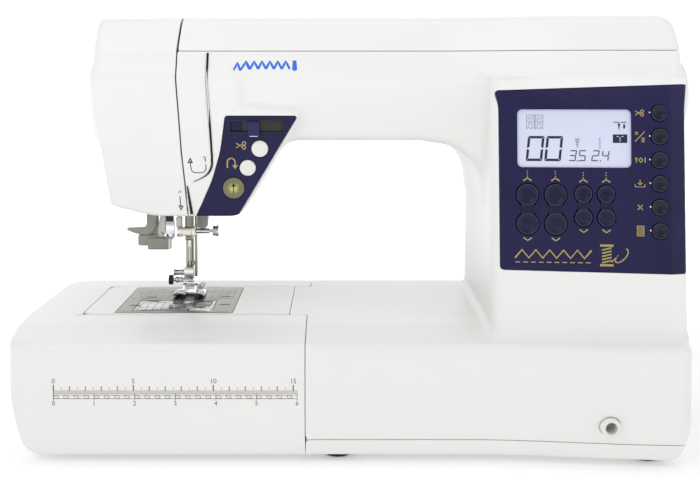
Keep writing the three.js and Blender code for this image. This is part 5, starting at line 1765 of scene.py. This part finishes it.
def build_presser():
    x, y = PRESSER_X, PRESSER_Y
    bar = [(0, 96), (2.8, 96, 0.2), (3.0, 96.8, 0.2), (3.0, 245, 0.5), (0, 245)]
    guard = [(0, 99), (1.0, 99, 0.4), (1.0, 149, 0.4), (0, 149)]
    links = [block((x, y - 2.2, z), (x + 5.2, y - 0.6, z + 2.8), 0.4) for z in (107.4, 144)]
    # Thin near-black blocks on the bar's face: painted shade for the slits.
    slits = [block((x + dx - 0.3, y - 3.08, 106.7), (x + dx + 0.3, y - 2.6, 110.2), 0.08)
             for dx in (-0.9, 1.3)]
    piece("presser_bar_rod", [upright(x, y, bar), upright(x + 4.8, y - 2, guard, 24), *links],
          BAR_STEEL, "presser_unit", ["presser_bar"])
    piece("presser_bar_slit_shade", slits, HOLE_SHADE, "presser_unit")
    holder = [block((x - 3.6, y - 6.4, 97.9), (x + 3.4, y + 5, 106.4), 0.6),
              block((x - 4.8, y - 5.8, 95.3), (x + 3.2, y + 4.8, 97.4), 0.4),
              block((x - 2.8, y - 5.0, 97.2), (x + 2.8, y + 4.6, 98.2), 0.1),
              turned([(0, -138.4), (2.5, -138.4, 0.3), (2.5, -137.3, 0.2), (2.1, -137, 0.1),
                      (2.1, -132.8, 0.1), (2.5, -132.4, 0.2), (2.5, -131.2, 0.2), (0, -131.2)],
                     side(0, y, 101.6), 32), rod(-131.6, -129, y, 101.6, 1.6),
              turned([(0, -138.6), (1.3, -138.6), (1.3, -136.8, 0.1), (2.2, -136.4, 0.3),
                      (2.2, -134.6, 0.3), (1.6, -134.2, 0.1), (2.0, -133.6, 0.3),
                      (2.0, -131.8, 0.3), (1.3, -131.4), (1.3, -129.4), (0, -129.4)],
                     side(0, y - 3, 96.6), 28)]
    piece("foot_holder_block", holder, PLATED, "presser_unit", ["foot_holder"])
    piece("foot_holder_knob", [knurled(3.5, 18, -141.5, -138.4, side(0, y - 3, 96.6))], BLACK_METAL,
          "presser_unit")
    toes = []
    for outline in ([(-136.9, 31, 1), (-136.6, 21, 3), (-133.4, 18, 2.5), (-129, 18.4, 2),
                     (-128, 24, 1), (-128, 31, 0.5)],
                    [(-122, 31, 0.5), (-122, 24, 1), (-121, 18.4, 2), (-116.8, 18, 2.5),
                     (-114.4, 21.5, 3), (-114.1, 31, 1)]):
        toes.append(bent(sheet(outline, 86.35, 88.2, 0.5), 27, 0.042))
    base = [(-136.9, 30.6, 0.3), (-128, 30.6, 0.3), (-128, 32.5, 1), (-122, 32.5, 1),
            (-122, 30.6, 0.3), (-114.1, 30.6, 0.3), (-115, 45.8, 2), (-136, 45.8, 2)]
    cheek = [(31.8, 87.8, 0.3), (44, 87.8, 0.3), (41, 94.4, 1.5), (35, 94.4, 2.5)]
    cheeks = [sheet(cheek, -131.2, -128.4, 0.4, side()), sheet(cheek, -122.6, -119.8, 0.4, side())]
    wing = [(-122.4, 88, 0.3), (-118.2, 88, 0.3), (-114.6, 94.2, 0.5), (-117.4, 94.6, 0.3),
            (-122.4, 90.6, 1)]
    flare = sheet(wing, -42.5, -40.9, 0.3, front())
    lobes = [upright(lx, 33.4, [(0, 88), (3.6, 88, 0.3), (3.2, 89.6, 1.2), (0, 90.4)], 32)
             for lx in (-132.6, -118.4)]
    pin = rod(-130, -121, 38, 92.6, 1.2)
    foot = [*toes, sheet(base, 86.35, 88.3, 0.4), *cheeks, flare, *lobes, pin]
    piece("presser_foot_sole", foot, PLATED, "presser_unit", ["presser_foot"])
    lever = [(-117.5, 160, 1), (-120.6, 145, 4), (-123.4, 141, 2), (-123.4, 133.2, 1.5),
             (-114.6, 132.0, 3.5), (-113.6, 149, 8), (-106.6, 159, 1)]
    hub = turned([(2.5, -55), (4.9, -55, 0.4), (4.9, -50, 0.4), (2.5, -50)], front(-110, 0, 160))
    piece("presser_lever_arm", [sheet(lever, -54.9, -50.1, 1.1, front()), hub], PALE_GREY, "lifter",
          ["presser_lever"])


# ---- Needle plate, bobbin cover, bobbin, hook and feed ---------------------------------------

COVER_LEFT, COVER_RIGHT, COVER_FRONT, COVER_BACK = -158.0, -104.0, -21.0, 15.0
FEED_ROWS = ((-8, 21, 43), (8, 21, 43), (0, 34, 43))


def build_plate():
    top = BED_TOP
    holes = [rectangle(COVER_LEFT - 0.3, COVER_FRONT - 0.3, COVER_RIGHT + 0.3, COVER_BACK + 0.3,
                       1.5)]
    for dx, start, end in FEED_ROWS:
        holes.append(rectangle(NEEDLE_X + dx - 1.9, start, NEEDLE_X + dx + 1.9, end, 1.2))
    holes.append(rounded([(-127.9, 25.6, 1.4), (-122.1, 25.6, 1.4), (-122.1, 28.4, 1.4),
                          (-127.9, 28.4, 1.4)]))
    outer = rectangle(PLATE_LEFT + 0.3, PLATE_FRONT + 0.3, PLATE_RIGHT - 0.3, PLATE_BACK - 0.3, 2.5)
    piece("needle_plate_sheet", [plate([outer, *holes], top - 2.2, top, 0.35)], BRUSHED, "machine",
          ["needle_plate"])
    # Near-black rectangles laid on the plate's top: painted shade for its slots.
    marks = []
    for sx, sy in ((-159, -2.9), (-152.1, 27.2), (-98.9, 28.9), (-96.8, 0.4)):
        marks.append(plate([rectangle(sx - 3.6, sy - 0.9, sx + 3.6, sy + 0.9, 0.8)], top - 0.05,
                           top + 0.06, 0))
    piece("needle_plate_slot_shade", marks, HOLE_SHADE, "machine")
    lines = []
    for k, gx in enumerate((-115, -109.5, -104, -98.5, -94)):
        lines += strokes([[(gx, 20), (gx, 56 - 2 * (k % 2))]], 0.35, flat(0, 0, top), 0.05)
        lines += strokes([[(-250 - gx, 20), (-250 - gx, 54 + 2 * (k % 2))]], 0.35, flat(0, 0, top),
                         0.05)
    for gy in (22, 46):
        lines += strokes([[(-92, gy), (-112, gy)], [(-166, gy), (-140, gy)]], 0.35, flat(0, 0, top),
                         0.05)
    for k in range(6):
        lines += strokes([[(-164 + 3.4 * k, 57), (-162.6 + 3.4 * k, 57)]], 0.7, flat(0, 0, top),
                         0.05)
    for gy in (-24.6, -26.0):
        lines += strokes([[(-166, gy), (-92, gy)]], 0.3, flat(0, 0, top), 0.05)
    piece("needle_plate_lines", lines, GREY_INK, "machine")
    cover = rectangle(COVER_LEFT, COVER_FRONT, COVER_RIGHT, COVER_BACK, 1.3)
    notch = rectangle(-117.4, -5.4, -106.6, 12.4, 1.2)
    sheet = plate([cover, notch], top - 2.1, top - 0.1, 0.3)
    piece("bobbin_cover_sheet", [sheet], CLEAR, "hook_cover", ["bobbin_cover"])
    latch = [block((-117.0, -5.0, top - 2.0), (-107.0, 12.0, top - 0.3), 0.5)]
    latch += [block((-116, y, top - 0.5), (-108, y + 0.8, top - 0.05), 0.2) for y in (-2.4, 0, 2.4)]
    piece("bobbin_cover_latch", latch, GREY, "hook_cover")
    prints = []
    for k in range(4):
        prints += strokes([[(-155 + 5 * k, -18), (-155 + 5 * k, 12)]], 0.3, flat(0, 0, top - 0.1),
                          0.04)
    for gy in (-17, -9, 9):
        prints += strokes([[(-156, gy), (-121, gy)]], 0.3, flat(0, 0, top - 0.1), 0.04)
    piece("bobbin_cover_lines", prints, GREY_INK, "hook_cover")
    patch = plate([rectangle(-119.5, -19.4, -108.5, -15.4, 0.4)], top - 0.12, top - 0.04, 0)
    piece("bobbin_cover_patch", [patch], BUTTON, "hook_cover")
    tray_hole = circle(HOOK_X, HOOK_Y, 18.7, 64)
    tray = plate([rectangle(-157.6, -20.6, -104.4, 14.6, 1.2), tray_hole], 79.6, 80.8, 0.2)
    ledges = [block((-158.6, -21.6, 79.6), (-157.2, 15.6, 83.4), 0.3),
              block((-104.8, -21.6, 79.6), (-103.4, 15.6, 83.4), 0.3),
              block((-158.6, -21.9, 79.6), (-103.4, -20.7, 83.4), 0.3),
              block((-158.6, 14.7, 79.6), (-103.4, 15.8, 83.4), 0.3)]
    piece("hook_tray", [tray, *ledges], IVORY, "machine")
    # A black patch on the tray under the clear cover: painted reflection, a dark reflection given
    # as colour.
    mark = plate([rectangle(-136, 9.6, -129, 14.2, 0.6)], 80.7, 81.2, 0.1)
    piece("hook_tray_dark_reflection", [mark], BLACK, "machine")


def build_bobbin():
    bobbin = [(3, 68.2, 0.2), (10.2, 68.2, 0.3), (10.2, 69.3, 0.3), (5, 69.3, 0.3), (5, 78.1, 0.3),
              (10.2, 78.1, 0.3), (10.2, 79.2, 0.3), (3, 79.2, 0.2)]
    piece("bobbin_spool", [upright(HOOK_X, HOOK_Y, bobbin, 48)], CLEAR, "bobbin", ["bobbin"])
    turns = [(5.1, 69.6)]
    turns += [(9.0 + 0.14 * (k % 2), 69.7 + 0.34 * k) for k in range(24)]
    turns += [(5.1, 77.9)]
    piece("bobbin_thread", [upright(HOOK_X, HOOK_Y, turns, 48)], THREAD, "bobbin")
    case = [(0, 66), (17.9, 66, 0.5), (17.9, 79, 0.5), (16.2, 79, 0.3), (15.6, 78, 0.3),
            (12.4, 78, 0.3), (11.4, 78.8, 0.2), (11.4, 67.4, 0.3), (0, 67.4)]
    piece("bobbin_case_cup", [upright(HOOK_X, HOOK_Y, case, 64)], BLACK, "machine", ["bobbin_case"])
    spring = sheet([(-142, 0, 1), (-137.4, 0, 1), (-137.4, 8, 1), (-142, 8, 1)], 78.6, 79.3, 0.15)
    piece("bobbin_case_spring", [spring, rod(-141.4, -139, 4, 79.0, 0.9)], PLATED, "machine")
    hook = [(0, 30), (4, 30, 0.4), (4, 39), (8, 39, 0.4), (8, 48.5, 0.4), (4, 48.5), (4, 60, 1),
            (12, 62.4, 1), (22, 62.4, 0.8), (23.5, 64, 0.4), (23.5, 66.4, 0.2), (22.9, 66.8),
            (23.5, 67.2, 0.2), (23.5, 75, 0.3), (20.8, 75, 0.3), (20.8, 65, 0.5), (0, 65)]
    teeth = knurled(8.0, 16, 39.2, 48.2, flat(HOOK_X, HOOK_Y, 0), 1.1)
    piece("rotary_hook_body", [upright(HOOK_X, HOOK_Y, hook, 72), teeth], STEEL, "hook",
          ["rotary_hook"])


def toothed(start, end, top, foot, pitch=1.6, depth=0.85):
    """The side view of a row of feed teeth, as (y, z) points."""
    count = round((end - start) / pitch)
    points = [(start, foot)]
    for k in range(count):
        y = start + (end - start) * k / count
        points += [(y, top - depth), (y + pitch * 0.75, top)]
    return np.array([*points, (end, top - depth), (end, foot)])


def build_feed():
    rows = []
    for dx, start, end in FEED_ROWS:
        outline = toothed(start + 3, end - 3, BED_TOP - 0.2, 78)
        rows.append(plate([outline[::-1]], NEEDLE_X + dx - 1.25, NEEDLE_X + dx + 1.25, 0.05,
                          side()))
    sheet = plate([rectangle(NEEDLE_X - 10, 30.6, NEEDLE_X + 10, 42, 1)], 76.4, 79, 0.3)
    carrier = block((NEEDLE_X - 4, 36, 66), (NEEDLE_X + 4, 52, 77), 0.5)
    screws = [upright(NEEDLE_X + dx, 40.2, [(0, 78.8), (1.6, 78.8), (1.6, 79.8, 0.3), (0, 79.8)],
                      20) for dx in (-3.6, 3.6)]
    piece("feed_dog_rows", [*rows, sheet, carrier, *screws], STEEL, "feed", ["feed_dog"])


build_needle()
build_threader()
build_presser()
build_plate()
build_bobbin()
build_feed()

# ---- Hand wheel, spool pin, winder, sockets, switch and feet ---------------------------------


def build_wheel():
    profile = [(6.5, 0, 0.3), (22, 0, 0.5), (25.5, 2, 1), (27, 6, 2), (27, 15, 3), (25, 20, 2.5),
               (20, 22.4, 2), (17, 21, 1.5), (8, 21, 1.5), (6.2, 20.2, 0.5), (0, 20), (0, 17.4),
               (6.5, 17.4)]
    wheel = turned(profile, None, 200, 8)
    radius = np.hypot(wheel.points[:, 0], wheel.points[:, 1])
    angle = np.arctan2(wheel.points[:, 1], wheel.points[:, 0])
    share = np.clip((radius - 24.6) / 1.6, 0, 1) * np.clip((18 - wheel.points[:, 2]) / 2, 0, 1)
    scale = 1 - share * 0.3 * (1 + np.cos(angle * 50)) / radius.clip(1)
    wheel.points[:, :2] *= scale[:, None]
    part = placed(shaded(wheel.points, wheel.faces, 50), side(206, SHAFT_Y, SHAFT_Z))
    piece("hand_wheel_rim", [part], WHITE, "upper_drive", ["hand_wheel"])
    dot = turned([(0, 21.9), (1.4, 21.9), (1.4, 22.3, 0.2), (0, 22.35)],
                 side(206, SHAFT_Y, SHAFT_Z + 19.4), 24)
    piece("hand_wheel_mark", [dot], GREY, "upper_drive")


def build_spool():
    stand = [(-22, 36, 2), (-14, 36, 2), (-14, 48, 2), (-22, 48, 2)]
    post = sheet(stand, DECK + 0.4, 276, 0.8)
    pin = turned([(0, -16), (2.6, -16), (2.6, 60, 0.2), (2.9, 61, 0.4), (2.6, 64.8, 1.2), (0, 65)],
                 side(0, 42, 270), 32)
    cap = turned([(2.6, 61.6), (9.8, 61.6, 0.6), (11, 62.4, 0.4), (11, 64, 0.5), (5, 65, 0.6),
                  (2.6, 65)], side(0, 42, 270), 48)
    piece("spool_pin_rod", [post, pin], IVORY, "machine", ["spool_pin"])
    piece("spool_cap", [cap], IVORY, "machine")
    winder = [(0, DECK + 0.4), (11, DECK + 0.4, 0.4), (11, DECK + 2.6, 0.6), (5, DECK + 3.2, 1),
              (3, DECK + 6, 1), (3, DECK + 20, 0.8), (1.4, DECK + 21.3, 0.5), (0, DECK + 21.4)]
    spring = block((149.2, 8.8, DECK + 8), (150.8, 9.4, DECK + 18), 0.2)
    piece("winder_spindle", [upright(150, 12, winder, 48), spring], IVORY, "winder",
          ["bobbin_winder"])
    stop = upright(168, 14,
                   [(0, DECK - 0.2), (5, DECK - 0.2), (5, DECK + 5, 0.8), (3, DECK + 6, 0.6),
                    (0, DECK + 6)], 40)
    piece("winder_stop", [stop], IVORY, "machine")


def build_sockets():
    knee = [(0, 7), (3.6, 7), (3.6, 20.2, 0.5), (4.4, 21.0, 0.5), (5.6, 21.0, 0.6),
            (6.3, 20.2, 0.5), (6.3, 1), (0, 1)]
    piece("knee_socket_ring", [turned(knee, front(KNEE[0], -77.6 + 1.0, KNEE[1]), 64)], BUTTON,
          "machine", ["knee_lift_socket"])
    w, h = INLET_WIDTH / 2, INLET_HEIGHT / 2
    outer = rounded([(-w, -h, 1.5), (w, -h, 1.5), (w, h, 5), (-w, h, 5)])
    inner = rounded([(-w + 2.5, -h + 2.5, 1), (w - 2.5, -h + 2.5, 1), (w - 2.5, h - 2.5, 4),
                     (-w + 2.5, h - 2.5, 4)])
    place = side(0, INLET_Y, INLET_Z)
    shell = plate([outer, inner], RIGHT - 18, RIGHT + 0.6, 0.4, place)
    floor = plate([outer], RIGHT - 18, RIGHT - 14, 0.2, place)
    pins = [block((RIGHT - 15, INLET_Y + dy - 1, INLET_Z - 2),
                  (RIGHT - 2, INLET_Y + dy + 1, INLET_Z + 2), 0.5) for dy in (-6, 0, 6)]
    piece("power_inlet_shell", [shell, floor], BLACK, "machine", ["power_inlet"])
    piece("power_inlet_pins", pins, PLATED, "machine")
    z, h = SWITCH_Z, SWITCH_HEIGHT / 2
    rocker = [(RIGHT - 9, z, 1), (RIGHT - 4, z - h, 0.8), (RIGHT + 2.4, z - h, 0.8),
              (RIGHT + 0.8, z, 6), (RIGHT + 1.6, z + h, 0.8), (RIGHT - 4, z + h, 0.8)]
    y0, y1 = SWITCH_Y - SWITCH_WIDTH / 2, SWITCH_Y + SWITCH_WIDTH / 2
    piece("power_switch_rocker", [sheet(rocker, -y1, -y0, 0.5, front())], BLACK, "switch",
          ["power_switch"])
    for name, x, y in (("front_left", -18, -58), ("front_right", 180, -66), ("rear_left", -18, 74),
                       ("rear_right", 180, 74)):
        foot = [(0, 0.5), (2.4, 0.5, 0.2), (2.6, 0, 0.1), (7.6, 0, 0.5), (9, 1.2, 0.4),
                (9, 2.6, 0.2), (0, 2.6)]
        piece(f"foot_pad_{name}", [upright(x, y, foot, 40)], RUBBER, "machine", [f"foot_{name}"])


build_wheel()
build_spool()
build_sockets()

# ---- Camera, light and floor -----------------------------------------------------------------

IMAGE_WIDTH, FOCAL = 700, 1130.8
CAMERA = (-0.01805, -0.7853, 0.2435)
TILT = 0.0438  # how far the camera looks down, in radians
SHIFT = (0.0177, -0.157)


def add_light(name, place, target, size, power):
    data = bpy.data.lights.new(name, "AREA")
    data.shape = "RECTANGLE"
    data.size, data.size_y = size
    data.energy = power
    lamp = bpy.data.objects.new(name, data)
    bpy.context.scene.collection.objects.link(lamp)
    lamp.location = place
    lamp.rotation_euler = (Vector(target) - Vector(place)).to_track_quat("-Z", "Y").to_euler()


def add_sweep(name, line, material):
    """A wide sheet along a line in side view, not attached to any body of the frame."""
    mesh = bpy.data.meshes.new(name)
    points = [(x, y, z) for y, z in line for x in (-8, 8)]
    mesh.from_pydata(points, [],
                     [(2 * k, 2 * k + 1, 2 * k + 3, 2 * k + 2) for k in range(len(line) - 1)])
    mesh.materials.append(material)
    sheet = bpy.data.objects.new(name, mesh)
    bpy.context.scene.collection.objects.link(sheet)
    return sheet


def build_stage():
    data = bpy.data.cameras.new("camera")
    data.sensor_width = 36.0
    data.lens = FOCAL * 36.0 / IMAGE_WIDTH
    data.shift_x, data.shift_y = SHIFT
    data.clip_start = 0.05
    camera = bpy.data.objects.new("camera", data)
    camera.location = CAMERA
    camera.rotation_euler = (math.pi / 2 - TILT, 0, 0)
    bpy.context.scene.collection.objects.link(camera)
    bpy.context.scene.camera = camera
    pale = finish_of("floor", (0.88, 0.88, 0.88), 0.7, shade=0.004, patch=400)
    lit_from(pale, (0, 0, 0), 300, 1300, (1, 1, 1), 0.24, 0.8)
    rise = [(4 + 2 * math.sin(t), 2 - 2 * math.cos(t)) for t in np.linspace(0.1, math.pi / 2, 16)]
    add_sweep("floor", [(-6, 0), (1.4, 0)], pale)
    backdrop = add_sweep("backdrop", [(1.4, 0), (4, 0), *rise, (6, 7)], pale)
    backdrop.visible_diffuse = False
    world = bpy.data.worlds.new("studio")
    world.use_nodes = True
    world.node_tree.nodes["Background"].inputs["Color"].default_value = (1, 1, 1, 1)
    world.node_tree.nodes["Background"].inputs["Strength"].default_value = 0.6
    bpy.context.scene.world = world
    middle = (0, 0, 0.14)
    add_light("key", (-0.9, -1.3, 1.5), middle, (1.2, 1.2), 7.5)
    add_light("fill", (1.3, -1.2, 0.7), middle, (1.0, 1.4), 2.5)
    add_light("top", (0, 0.1, 1.6), middle, (1.6, 0.9), 5)
    bpy.context.scene.view_settings.view_transform = "Standard"


build_stage()
